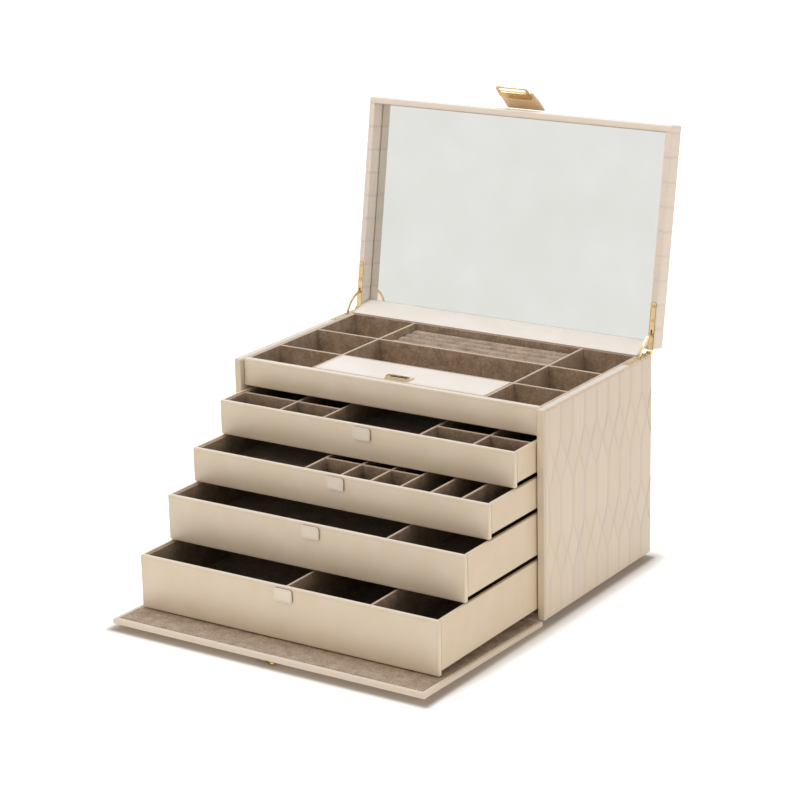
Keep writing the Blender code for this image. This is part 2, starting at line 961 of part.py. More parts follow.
def make_hinge(side_name, side, lid_axis):
    """One quadrant hinge: two leaves, a pin, the curved stay and the screws."""
    centre = side * hinge_x
    case_pivot = empty("hinge_axis_" + side_name, (centre, pin_y, pin_z))
    lid_pivot = empty("lid_leaf_axis_" + side_name, (centre, 0, 0), lid_axis)
    case_run, lid_run = knuckle_runs()
    slot_half = stay_thickness / 2 + stay_gap / 2

    case_leaf = leaf_parts("hinge_case_leaf_" + side_name, case_pivot, -joint_gap / 2, -1, case_run, lid_run)
    low, high = stay_sweep["case_slot"]
    cut_box(
        case_leaf,
        (-slot_half, -high, -joint_gap / 2 - leaf_thickness - cut_overrun),
        (slot_half, -low, cut_overrun),
        case_pivot,
    )

    lid_leaf = leaf_parts("hinge_lid_leaf_" + side_name, lid_pivot, joint_gap / 2, 1, lid_run, case_run)
    low, high = stay_sweep["lid_slot"]
    rivet_height = joint_gap / 2 + stay_depth
    ear_inner = slot_half
    for sign in (-1, 1):
        ends = sorted((sign * ear_inner, sign * (ear_inner + ear_thickness)))
        ear = box(
            "join_ear_" + side_name,
            (ends[0], -stay_reach - stay_head_radius, joint_gap / 2 + leaf_thickness / 2),
            (ends[1], -stay_reach + stay_head_radius, rivet_height + stay_rivet_radius * 2),
            None,
            lid_pivot,
            cutters,
        )
        join(lid_leaf, ear)
    cut_box(
        lid_leaf,
        (-slot_half, -high, -cut_overrun),
        (slot_half, -low, joint_gap / 2 + leaf_thickness + cut_overrun),
        lid_pivot,
    )
    rivet = cylinder(
        "join_rivet_" + side_name,
        stay_rivet_radius,
        2 * (ear_inner + ear_thickness / 2),
        (0, -stay_reach, rivet_height),
        None,
        lid_pivot,
        cutters,
        small_sides,
    )
    join(lid_leaf, rivet)

    cylinder(
        "hinge_pin_" + side_name, pin_radius, leaf_width, (0, 0, 0), brass, case_pivot, sides=small_sides
    )
    make_stay(side_name, centre)
    make_screws("hinge_case_screw_" + side_name, case_pivot, case_leaf, -joint_gap / 2, -1)
    make_screws("hinge_lid_screw_" + side_name, lid_pivot, lid_leaf, joint_gap / 2, 1)


def make_stay(side_name, centre):
    """The curved stay as it stands with the lid open, hung on its rivet's axis."""
    rivet, arc_centre, first, last = stay_shape()
    axis = empty("stay_axis_" + side_name, (centre, pin_y - rivet[0], pin_z + rivet[1]))
    quarter = math.pi / 2
    outline = [(rivet[0] - f, u - rivet[1]) for f, u in stay_outline(stay_width / 2)]
    stay = plate(
        "hinge_stay_" + side_name, [outline], stay_thickness, brass, axis, turn=(quarter, 0, quarter)
    )
    eye = cylinder(
        "join_eye_" + side_name, stay_head_radius, stay_thickness, (0, 0, 0), None, axis, cutters
    )
    hole = cylinder(
        "cut_eye_" + side_name,
        stay_rivet_radius + pin_gap,
        stay_thickness + cut_overrun,
        (0, 0, 0),
        None,
        axis,
        cutters,
        small_sides,
    )
    stop_angle = last + stay_stop_radius / stay_radius
    stop_forward = arc_centre[0] + stay_radius * math.cos(stop_angle)
    stop_up = arc_centre[1] + stay_radius * math.sin(stop_angle)
    stop = cylinder(
        "join_stop_" + side_name,
        stay_stop_radius,
        stay_stop_width,
        (0, rivet[0] - stop_forward, stop_up - rivet[1]),
        None,
        axis,
        cutters,
        small_sides,
    )
    join(stay, eye, stop)
    cut(stay, hole)


# Lid

def make_lid(lid_axis):
    """The lid in its own frame: closed, with the hinge pin at zero and the lid's front towards -Y."""
    rear = -pin_setback
    nose = rear - lid_length
    rim = joint_gap / 2
    crown = rim + lid_thickness
    half = case_width / 2
    shell = box("lid_shell", (-half, nose, rim), (half, rear, crown), embossed_leather, lid_axis)
    bevel(shell, lid_round, 3)
    hollow_half = case_width / 2 - lid_wall
    ceiling = crown - lid_board
    cut_box(
        shell,
        (-hollow_half, nose + lid_wall, rim - cut_overrun),
        (hollow_half, rear - lid_hinge_wall, ceiling),
        lid_axis,
    )
    cut_box(
        shell,
        (-hollow_half, rear - lid_hinge_wall - cut_overrun, rim - cut_overrun),
        (hollow_half, rear + cut_overrun, rim + lid_hinge_wall_drop),
        lid_axis,
    )
    low, high = stay_sweep["lid_slot"]
    seat_half = leaf_width / 2 + leaf_gap
    pocket_half = stay_thickness / 2 + stay_gap / 2 + ear_thickness + leaf_gap
    pocket_low = min(-high, -stay_reach - stay_head_radius) - leaf_gap
    pocket_high = max(-low, -stay_reach + stay_head_radius) + leaf_gap
    for side in (-1, 1):
        centre = side * hinge_x
        leaf_seat(
            shell,
            rear + cut_overrun,
            rim - cut_overrun,
            rim + leaf_thickness + leaf_gap,
            (centre, 0),
            lid_axis,
        )
        cut_box(
            shell,
            (centre - pocket_half, pocket_low, rim + leaf_thickness),
            (centre + pocket_half, pocket_high, rim + stay_depth + stay_head_radius + leaf_gap),
            lid_axis,
        )
        cut(
            shell,
            cylinder(
                "cut_lid_knuckle",
                knuckle_radius + knuckle_gap,
                2 * seat_half,
                (centre, 0, 0),
                None,
                lid_axis,
                cutters,
            ),
        )
    box(
        "lid_mirror",
        (-hollow_half + mirror_gap, nose + lid_wall + mirror_gap, ceiling - touch_gap - mirror_thickness),
        (hollow_half - mirror_gap, rear - lid_hinge_wall - mirror_gap, ceiling - touch_gap),
        mirror_glass,
        lid_axis,
    )


def make_gusset():
    """The leather strip from the tray's back wall, over the lid's hinge wall, to the mirror's lower edge."""
    def opened(y, z):
        forward, up = turned((-y, z), lid_open_angle)
        return pin_y - forward, pin_z + up

    rim = joint_gap / 2
    rear = -pin_setback
    lift = touch_gap + gusset_thickness / 2
    start = (back_face - tray_back_wall + gusset_seat, panel_top - tray_drop + lift)
    crest = opened(rear - lid_hinge_wall - lift, rim + lid_hinge_wall_drop - lift)
    mirror_face = rim + lid_thickness - lid_board - touch_gap - mirror_thickness
    end = opened(rear - lid_hinge_wall - lift - gusset_mirror_overlap, mirror_face - lift)
    half = inner_half - fit_gap
    bent_sheet("lid_gusset", [start, crest, end], lambda number: 2 * half, smooth_leather, gusset_thickness)


# Strap and lock plate

def strap_path():
    """Side view of the strap about its bend, in the closed lid's frame: (y, z) and the angle below level."""
    points = [(0.0, 0.0)]
    steps = arc_steps // 2
    turn = strap_tip_angle - strap_root_angle
    angle = strap_root_angle
    y, z = 0.0, 0.0
    for step in range(steps):
        angle = strap_root_angle + turn * (step + 1 / 2) / steps
        y -= strap_arc_length / steps * math.cos(angle)
        z -= strap_arc_length / steps * math.sin(angle)
        points.append((y, z))
    flat_steps = corner_steps
    for step in range(flat_steps):
        share = math.sin(math.pi / 2 * step / (flat_steps - 1))
        reach = strap_flat_length - strap_corner + strap_corner * share
        points.append((y - reach * math.cos(strap_tip_angle), z - reach * math.sin(strap_tip_angle)))
    return points, (y, z)


def make_clasp(lid_axis):
    nose = -pin_setback - lid_length
    crown = joint_gap / 2 + lid_thickness
    patch_low = crown + touch_gap
    axis_y = nose - strap_stand_off
    axis_z = patch_low + anchor_thickness / 2
    anchor = box(
        "clasp_anchor",
        (-strap_width / 2, axis_y + anchor_gap, patch_low),
        (strap_width / 2, axis_y + anchor_gap + anchor_depth, patch_low + anchor_thickness),
        smooth_leather,
        lid_axis,
    )
    bevel(anchor, anchor_round)
    axis = empty("clasp_axis", (0, axis_y, axis_z), lid_axis)
    path, flat_start = strap_path()
    last = len(path) - 1
    flat_steps = corner_steps

    def width_at(number):
        step = number - (last - flat_steps + 1)
        if step < 0:
            return strap_width + (strap_tip_width - strap_width) * number / last
        return strap_tip_width - 2 * strap_corner * (1 - math.cos(math.pi / 2 * step / (flat_steps - 1)))

    lengths = [0.0]
    for near, far in zip(path, path[1:]):
        lengths.append(lengths[-1] + math.dist(near, far))

    def lean_at(number):
        return -strap_lean * lengths[number] / lengths[-1]

    strap = bent_sheet("clasp_strap", path, width_at, smooth_leather, strap_thickness, axis, lean_at=lean_at)
    smooth(strap)

    reach = strap_flat_length - plate_overlap + plate_depth / 2
    lift = strap_thickness / 2 + touch_gap + plate_thickness / 2
    along = Vector((0, -math.cos(strap_tip_angle), -math.sin(strap_tip_angle)))
    inward = Vector((0, math.sin(strap_tip_angle), -math.cos(strap_tip_angle)))
    centre = Vector((-strap_lean, *flat_start)) + along * reach + inward * lift
    slot_shift = plate_depth / 2 - plate_bar - plate_slot_depth / 2
    rim_outline = rounded_outline(plate_width, plate_depth, plate_corner)
    slot = rounded_outline(plate_slot_width, plate_slot_depth, plate_slot_corner)
    lock = plate(
        "clasp_plate",
        [rim_outline, [(x, y - slot_shift) for x, y in slot]],
        plate_thickness,
        brass,
        axis,
        centre,
        (strap_tip_angle, 0, 0),
    )
    bevel(lock, plate_round, 1)


# Flap

def flap_tilt():
    """The flap lies on its knob, so its free edge stands a little higher than its hinge."""
    return math.asin((flap_thickness + knob_height + touch_gap - panel_bottom) / knob_reach)


def make_flap():
    axis = empty("flap_axis", (0, front - touch_gap, panel_bottom), turn=-flap_tilt())
    board = box(
        "flap_board",
        (-flap_width / 2, -flap_length, -flap_thickness),
        (flap_width / 2, 0, 0),
        embossed_leather,
        axis,
    )
    bevel(board, flap_round)
    border_half = flap_width / 2 - flap_border
    recess = flap_lining_thickness - flap_lining_proud + touch_gap
    cut_box(
        board,
        (-border_half, -flap_length + flap_border, -recess),
        (border_half, -flap_border, cut_overrun),
        axis,
    )
    lining = box(
        "flap_lining",
        (-border_half + touch_gap, -flap_length + flap_border + touch_gap, -recess + touch_gap),
        (border_half - touch_gap, -flap_border - touch_gap, flap_lining_proud),
        suede,
        axis,
    )
    bevel(lining, board_round / 2, 1)

    strip_half = flap_width / 2 - panel_thickness - strip_inset
    lift = flap_lining_proud + touch_gap + strip_thickness / 2
    rise_y = base_setback - touch_gap - strip_thickness / 2
    bent_sheet(
        "flap_hinge_strip",
        [
            (front - strip_reach, panel_bottom + lift + strip_reach * math.sin(flap_tilt())),
            (front, panel_bottom + lift),
            (front + rise_y, panel_bottom + lift),
            (front + rise_y, panel_bottom + lift + strip_rise),
        ],
        lambda number: 2 * strip_half,
        suede,
        strip_thickness,
    )

    knob_axis = empty("knob_axis", (0, -knob_reach, -flap_thickness), axis)
    base_top = -touch_gap
    base = plate(
        "knob_base",
        [rounded_outline(knob_base_width, knob_base_depth, knob_base_depth / 2 - touch_gap)],
        knob_base_thickness,
        brass,
        knob_axis,
        (0, 0, base_top - knob_base_thickness / 2),
    )
    bevel(base, plate_round, 1)
    knob_low = -knob_height
    wing = plate(
        "turn_knob",
        [rounded_outline(knob_width, knob_depth, knob_depth / 2 - touch_gap)],
        knob_thickness,
        brass,
        knob_axis,
        (0, 0, knob_low + knob_thickness / 2),
        (0, 0, -knob_turned),
    )
    bevel(wing, knob_round, 2)
    post_top = base_top - knob_base_thickness - touch_gap
    post_low = knob_low + knob_thickness / 2
    post = cylinder(
        "join_post",
        knob_post_radius,
        post_top - post_low,
        (0, 0, (post_top + post_low) / 2),
        None,
        knob_axis,
        cutters,
        small_sides,
        "Z",
    )
    join(wing, post)


# The whole box

make_case()
for side_name, side in (("left", -1), ("right", 1)):
    make_side_panel("side_panel_" + side_name, side)

cells, cell_floor = make_tray()
make_ring_rolls(cells["middle_back"], cell_floor)
make_travel_case(cells["middle_front"], cell_floor)

levels = front_levels()
make_runners(levels)
for number, ((bottom, top), pull) in enumerate(zip(levels, front_pulls)):
    make_drawer(number + 1, bottom, top, pull)

lid_axis = empty("lid_axis", (0, pin_y, pin_z), turn=-lid_open_angle)
make_lid(lid_axis)
make_gusset()
for side_name, side in (("left", -1), ("right", 1)):
    make_hinge(side_name, side, lid_axis)
make_clasp(lid_axis)
make_flap()
bpy.context.view_layer.update()
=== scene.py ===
# %% [markdown]
# # A tiered jewelry box in cream leather
#
# The box is a case of four drawers under an open tray, with a mirror in its lid and a front flap that
# lies on the table. Its solids come from the CAD model, and this script dresses them: each board gets
# its leather wrap with soft edges, each insert its suede, and the seams their thread.
#
# The first cell loads the CAD model as a fixed frame. Every piece is placed from that frame's own sizes.

# %% Load the frame
import json
import math

import bmesh
import bpy
from mathutils import Euler, Matrix, Vector
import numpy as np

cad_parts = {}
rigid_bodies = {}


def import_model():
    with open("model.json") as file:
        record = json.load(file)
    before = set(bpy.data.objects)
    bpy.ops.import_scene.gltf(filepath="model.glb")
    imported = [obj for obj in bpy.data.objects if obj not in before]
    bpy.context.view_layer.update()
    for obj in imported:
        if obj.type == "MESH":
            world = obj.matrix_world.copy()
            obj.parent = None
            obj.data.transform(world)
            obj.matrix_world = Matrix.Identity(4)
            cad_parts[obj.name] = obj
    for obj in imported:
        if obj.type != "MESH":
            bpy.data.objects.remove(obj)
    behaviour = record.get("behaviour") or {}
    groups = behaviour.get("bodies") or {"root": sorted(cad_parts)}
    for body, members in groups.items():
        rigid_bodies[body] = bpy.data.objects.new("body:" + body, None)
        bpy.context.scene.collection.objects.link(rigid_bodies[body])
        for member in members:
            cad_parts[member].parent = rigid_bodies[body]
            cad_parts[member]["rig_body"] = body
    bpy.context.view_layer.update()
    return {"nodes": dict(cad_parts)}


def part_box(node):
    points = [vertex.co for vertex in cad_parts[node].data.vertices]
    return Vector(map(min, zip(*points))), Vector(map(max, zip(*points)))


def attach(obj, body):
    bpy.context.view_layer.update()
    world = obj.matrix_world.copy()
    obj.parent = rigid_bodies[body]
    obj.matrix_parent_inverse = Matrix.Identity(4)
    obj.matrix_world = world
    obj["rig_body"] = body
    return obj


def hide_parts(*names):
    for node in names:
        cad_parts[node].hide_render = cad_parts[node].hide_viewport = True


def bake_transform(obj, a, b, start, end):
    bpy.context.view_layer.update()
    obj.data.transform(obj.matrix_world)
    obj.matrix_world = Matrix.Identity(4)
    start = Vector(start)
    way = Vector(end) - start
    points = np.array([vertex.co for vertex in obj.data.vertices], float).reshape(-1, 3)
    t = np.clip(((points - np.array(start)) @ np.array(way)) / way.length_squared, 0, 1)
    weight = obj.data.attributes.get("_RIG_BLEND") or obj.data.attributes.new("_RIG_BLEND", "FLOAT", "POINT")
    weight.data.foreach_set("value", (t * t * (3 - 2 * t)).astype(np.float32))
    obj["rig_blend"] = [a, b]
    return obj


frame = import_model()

nodes = frame["nodes"]
body_of = {name: part["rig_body"] for name, part in nodes.items()}
slot_of = {name: part.data.materials[0].name for name, part in nodes.items()}
mm = 0.001

# %% [markdown]
# ## One helper for nodes, one for colours
#
# Shader trees and geometry trees are built the same way: a node, a few settings, and links into its
# sockets. Colours are written as sRGB hex, as a designer would read them off a leather sample, and one
# function turns them to the linear values that the renderer wants.

# %% Node and colour helpers
def node(tree, kind, inputs=None, **settings):
    """Adds a node, applies its settings, then fills its sockets with values or links."""
    made = tree.nodes.new(kind)
    for name, value in settings.items():
        setattr(made, name, value)
    for key, value in (inputs or {}).items():
        socket = made.inputs[key]
        if isinstance(value, bpy.types.NodeSocket):
            tree.links.new(value, socket)
        else:
            socket.default_value = value
    return made


def linear(hex_colour):
    """An sRGB hex colour as linear red, green, blue and alpha."""
    parts = [int(hex_colour[i:i + 2], 16) / 255 for i in (0, 2, 4)]
    return [p / 12.92 if p <= 0.04045 else ((p + 0.055) / 1.055) ** 2.4 for p in parts] + [1.0]


print("a cream of F0E6D8 is", [round(v, 3) for v in linear("F0E6D8")])

# %% [markdown]
# ## The camera first
#
# The camera is set before anything else, because every later choice is judged through it. Its place was
# fitted to the box's own corners: a long lens from the front right, a little above, with a slight roll.

# %% Camera
azimuth, elevation, roll = (math.radians(angle) for angle in (33.45, 17.21, -1.32))
toward_camera = Vector((
    math.sin(azimuth) * math.cos(elevation),
    -math.cos(azimuth) * math.cos(elevation),
    math.sin(elevation),
))
level_right = Vector((math.cos(azimuth), math.sin(azimuth), 0))
level_up = toward_camera.cross(level_right)
camera_right = level_right * math.cos(roll) + level_up * math.sin(roll)
camera_up = level_up * math.cos(roll) - level_right * math.sin(roll)

camera_data = bpy.data.cameras.new("camera")
camera_data.lens = 114.13
camera_data.sensor_width = 36
camera = bpy.data.objects.new("camera", camera_data)
camera.matrix_world = Matrix.Translation((1.2486, -1.9649, 0.8873)) @ Matrix(
    (camera_right, camera_up, toward_camera)
).transposed().to_4x4()
bpy.context.scene.collection.objects.link(camera)
bpy.context.scene.camera = camera
print("camera stands", round(camera.matrix_world.translation.length, 3), "m from the box's foot")

# %% [markdown]
# ## Floor, sky and lamps
#
# The box stands on white paper under a large soft light. Its top faces are lit by that neutral light, but
# its fronts are lit by a warm room and its reflection off the table, so they look browner. So the sky and
# the paper give warm light to the leather, while the camera, and metal and glass, see them plain white.
# The paper's own glow, seen by the camera, grows with the distance from the box's footprint: near its edge the real
# shadow stays, and a hand's breadth away the paper is plain white. Within 8 mm of the footprint the paper also carries
# a painted contact shadow, a darker grey. To all other rays the paper glows faintly, a fill light from below. The lamp
# in front is hidden from reflections, or the mirror would show it as a bright square.

# %% Stage
def seen_directly(tree):
    """1 for the rays of the camera, of reflections and of glass, and 0 for the rest."""
    path = node(tree, "ShaderNodeLightPath").outputs
    shiny = node(tree, "ShaderNodeMath", {0: path["Is Glossy Ray"], 1: path["Is Transmission Ray"]},
                 operation="MAXIMUM")
    return node(tree, "ShaderNodeMath", {0: shiny.outputs[0], 1: path["Is Camera Ray"]},
                operation="MAXIMUM").outputs[0]


paper = bpy.data.materials.new("matt white paper")
paper.use_nodes = True
tree = paper.node_tree
tree.nodes.clear()
direct = seen_directly(tree)
ground = node(tree, "ShaderNodeTexCoord").outputs["Object"]
from_middle = node(tree, "ShaderNodeVectorMath", {0: ground, 1: (0, -0.101, 0)}, operation="SUBTRACT").outputs[0]
folded = node(tree, "ShaderNodeVectorMath", {0: from_middle}, operation="ABSOLUTE").outputs[0]
over = node(tree, "ShaderNodeVectorMath", {0: folded, 1: (0.171, 0.204, 0)}, operation="SUBTRACT").outputs[0]
past = node(tree, "ShaderNodeVectorMath", {0: over, 1: (0, 0, 0)}, operation="MAXIMUM").outputs[0]
away = node(tree, "ShaderNodeVectorMath", {0: past}, operation="LENGTH").outputs["Value"]
glow = node(tree, "ShaderNodeMapRange", {
    "Value": away, "From Min": 0.0, "From Max": 0.034, "To Min": 0.07, "To Max": 0.9}, interpolation_type="SMOOTHSTEP")
# Painted contact shadow: within 8 mm of the box's footprint the camera sees the paper darker, AEA397 in place of
# FAFAFA.
painted_contact_shadow = node(tree, "ShaderNodeMapRange", {"Value": away, "From Max": 0.008}, interpolation_type="SMOOTHSTEP")
paper_with_painted_shadow = node(tree, "ShaderNodeMix", {0: painted_contact_shadow.outputs[0], 6: linear("AEA397"), 7: linear("FAFAFA")},
                  data_type="RGBA")
paper_colour = node(tree, "ShaderNodeMix", {0: direct, 6: linear("F8F0E4"), 7: paper_with_painted_shadow.outputs[2]},
                    data_type="RGBA")
matt = node(tree, "ShaderNodeBsdfDiffuse", {"Color": paper_colour.outputs[2]})
strength = node(tree, "ShaderNodeMix", {0: direct, 2: 0.22, 3: glow.outputs[0]}, data_type="FLOAT")
lift = node(tree, "ShaderNodeEmission", {"Strength": strength.outputs[0]})
both = node(tree, "ShaderNodeAddShader", {0: matt.outputs[0], 1: lift.outputs[0]})
node(tree, "ShaderNodeOutputMaterial", {"Surface": both.outputs[0]})

floor_mesh = bpy.data.meshes.new("floor")
bm = bmesh.new()
bmesh.ops.create_grid(bm, x_segments=1, y_segments=1, size=20)
bm.to_mesh(floor_mesh)
bm.free()
floor = bpy.data.objects.new("floor", floor_mesh)
floor_mesh.materials.append(paper)
bpy.context.scene.collection.objects.link(floor)

sky = bpy.data.worlds.new("studio")
sky.use_nodes = True
tree = sky.node_tree
tree.nodes.clear()
direct = seen_directly(tree)
air = node(tree, "ShaderNodeMix", {0: direct, 6: linear("FFF3E3"), 7: linear("FFFFFF")}, data_type="RGBA")
seen = node(tree, "ShaderNodeMapRange", {"Value": direct, "To Min": 0.40, "To Max": 1.0})
dome = node(tree, "ShaderNodeBackground", {"Color": air.outputs[2], "Strength": seen.outputs[0]})
node(tree, "ShaderNodeOutputWorld", {"Surface": dome.outputs[0]})
bpy.context.scene.world = sky


def soft_lamp(name, place, aim, size, power, colour="FFFFFF"):
    data = bpy.data.lights.new(name, "AREA")
    data.shape = "SQUARE"
    data.size = size
    data.energy = power
    data.color = linear(colour)[:3]
    lamp = bpy.data.objects.new(name, data)
    lamp.location = place
    lamp.rotation_euler = (Vector(aim) - Vector(place)).to_track_quat("-Z", "Y").to_euler()
    bpy.context.scene.collection.objects.link(lamp)
    return lamp


soft_lamp("overhead softbox", (-0.35, 0.2, 2.1), (0, 0, 0.1), 1.2, 25.0, "E1EDFF")
soft_lamp("right fill", (2.3, 0.0, 0.65), (0, 0, 0.15), 1.1, 5, "FFF1E2")
soft_lamp("front fill", (-0.7, -1.7, 2.2), (0, -0.1, 0.15), 0.9, 11.8, "FFEDD4").visible_glossy = False
bpy.context.scene.view_settings.view_transform = "Standard"

# %% [markdown]
# ## The finishes
#
# Six finishes cover the box. Smooth leather is corrected-grain calf: a pale dye, a satin top coat and a pebble of
# about 0.7 mm. The embossed leather is the same hide pressed warm between plates, so each pressed cell takes the dye a
# little differently; its grooves are tinted greyer as painted shade, and its long two-tone streaks are partly painted
# shade of the cushions' slopes. The lid's copy is painted lighter, for the light the high lid catches. Suede is the
# same skin's other side, napped, so it is dull and mottled where the nap leans. On the divider tops it is pulled tight
# and paler, with a painted highlight there that is weaker in the drawers, and deep in a drawer's cells it is darkened
# by painted shade. The strap's side that faces the front is tan, for its flesh side and for painted shade.

# %% Leather and suede
def new_material(name):
    material = bpy.data.materials.new(name)
    material.use_nodes = True
    tree = material.node_tree
    tree.nodes.clear()
    shader = node(tree, "ShaderNodeBsdfPrincipled")
    node(tree, "ShaderNodeOutputMaterial", {"Surface": shader.outputs[0]})
    place = node(tree, "ShaderNodeTexCoord").outputs["Object"]
    return material, tree, shader, place


def mottled(tree, place, patch, dark, light, contrast=0.5, detail=3):
    """Colour that wanders between two dyes over patches of a real size in metres."""
    cloud = node(tree, "ShaderNodeTexNoise", {"Vector": place, "Scale": 1 / patch, "Detail": detail})
    spread = node(tree, "ShaderNodeMapRange", {
        "Value": cloud.outputs[0], "From Min": 0.5 - contrast / 2, "From Max": 0.5 + contrast / 2})
    return node(tree, "ShaderNodeMix", {0: spread.outputs[0], 6: linear(dark), 7: linear(light)},
                data_type="RGBA").outputs[2]


def pebble_bump(tree, place, grain, height, strength=0.6):
    """A leather pebble: rounded cells with fine creases between them."""
    cells = node(tree, "ShaderNodeTexVoronoi", {"Vector": place, "Scale": 1 / grain}, feature="SMOOTH_F1")
    crease = node(tree, "ShaderNodeTexNoise", {"Vector": place, "Scale": 0.35 / grain, "Detail": 4})
    mix = node(tree, "ShaderNodeMath", {0: cells.outputs[0], 1: crease.outputs[0]}, operation="ADD")
    return node(tree, "ShaderNodeBump", {
        "Height": mix.outputs[0], "Strength": strength, "Distance": height}).outputs[0]


def leather(name, dark, light, grain, height, roughness):
    material, tree, shader, place = new_material(name)
    tree.links.new(mottled(tree, place, 22 * mm, dark, light), shader.inputs["Base Color"])
    tree.links.new(pebble_bump(tree, place, grain, height), shader.inputs["Normal"])
    shader.inputs["Roughness"].default_value = roughness
    return material


def pressed_leather(name, beige, grey):
    """Pressed hide. The attribute press holds its own plane's coordinates, and crease how much a groove is tinted a
    darker grey as painted shade.
    """
    material, tree, shader, place = new_material(name)
    press = node(tree, "ShaderNodeAttribute", attribute_name="press").outputs["Vector"]
    drawn = node(tree, "ShaderNodeVectorMath", {0: press, 1: (1 / (3.6 * mm), 1 / (95 * mm), 1.0)},
                 operation="MULTIPLY").outputs[0]
    # Long two-tone streaks along the columns: random tone, and partly painted shade standing for the cushions' lit and
    # shaded slopes.
    streak = node(tree, "ShaderNodeTexNoise", {"Vector": drawn, "Scale": 1.0, "Detail": 2.0}).outputs[0]
    spread = node(tree, "ShaderNodeMapRange", {"Value": streak, "From Min": 0.34, "From Max": 0.66}).outputs[0]
    dye = node(tree, "ShaderNodeMix", {0: spread, 6: linear(beige), 7: linear(grey)},
               data_type="RGBA").outputs[2]
    tone = node(tree, "ShaderNodeAttribute", attribute_name="tone").outputs["Fac"]
    lift = node(tree, "ShaderNodeMapRange", {"Value": tone, "From Min": -1.0, "To Min": 0.97, "To Max": 1.03})
    dye = node(tree, "ShaderNodeHueSaturation", {"Color": dye, "Value": lift.outputs[0]}).outputs[0]
    # Painted shade: where crease is set, in the grooves, the dye is mixed towards a darker grey, CFC2B4.
    crease = node(tree, "ShaderNodeAttribute", attribute_name="crease").outputs["Fac"]
    dye = node(tree, "ShaderNodeMix", {0: crease, 6: dye, 7: linear("CFC2B4")}, data_type="RGBA").outputs[2]
    tree.links.new(dye, shader.inputs["Base Color"])
    tree.links.new(pebble_bump(tree, place, 0.9 * mm, 0.05 * mm), shader.inputs["Normal"])
    shader.inputs["Roughness"].default_value = 0.44
    return material


smooth_leather = leather("corrected-grain calf leather", "EFE3CF", "F4EADB", 0.7 * mm, 0.05 * mm, 0.42)
pale_leather = leather("pale corrected-grain calf leather", "F3EADE", "F8F1E7", 0.7 * mm, 0.05 * mm, 0.42)
tray_leather = leather("calf leather on the drawers' trays", "E4D5BD", "EADCC6", 0.7 * mm, 0.05 * mm, 0.45)
embossed_leather = pressed_leather("hot-embossed calf leather", "EBDFCB", "E6DBD0")
# The lid's copy of the pressed hide is painted lighter, a painted highlight for the light the high lid catches.
lid_leather_painted_lighter = pressed_leather("hot-embossed calf leather of the lid, painted lighter", "F9EFE2", "F6ECE6")


def two_faced_leather(name, dark, light, second_dark, second_light):
    """Leather that shows a second colour on marked faces: used for a flesh side, for dyed cut edges and for painted
    shade and shadow.
    """
    material = leather(name, dark, light, 0.7 * mm, 0.05 * mm, 0.46)
    tree = material.node_tree
    shader = next(n for n in tree.nodes if n.type == "BSDF_PRINCIPLED")
    place = next(n for n in tree.nodes if n.type == "TEX_COORD").outputs["Object"]
    second_colour = node(tree, "ShaderNodeAttribute", attribute_name="second_colour").outputs["Fac"]
    dyed = shader.inputs["Base Color"].links[0].from_socket
    sides = node(tree, "ShaderNodeMix", {0: second_colour, 6: dyed, 7: mottled(tree, place, 3 * mm, second_dark, second_light)},
                 data_type="RGBA")
    tree.links.new(sides.outputs[2], shader.inputs["Base Color"])
    return material


# The strap's tan second colour is its flesh side, and also painted shade on the side turned from the light.
strap_leather = two_faced_leather("calf strap with a flesh side and painted shade", "EFE3CF", "F4EADB", "E8D0AA", "F1DDBB")
# The pull tab is dyed lighter than the fronts as a painted highlight, and its marked side faces take a dark brown:
# dyed cut edges, and a painted shadow along the tab.
tab_leather = two_faced_leather("calf pull-tab with painted light and edge shadow", "FAF4E8", "FDF9F0", "92795A", "A48B69")


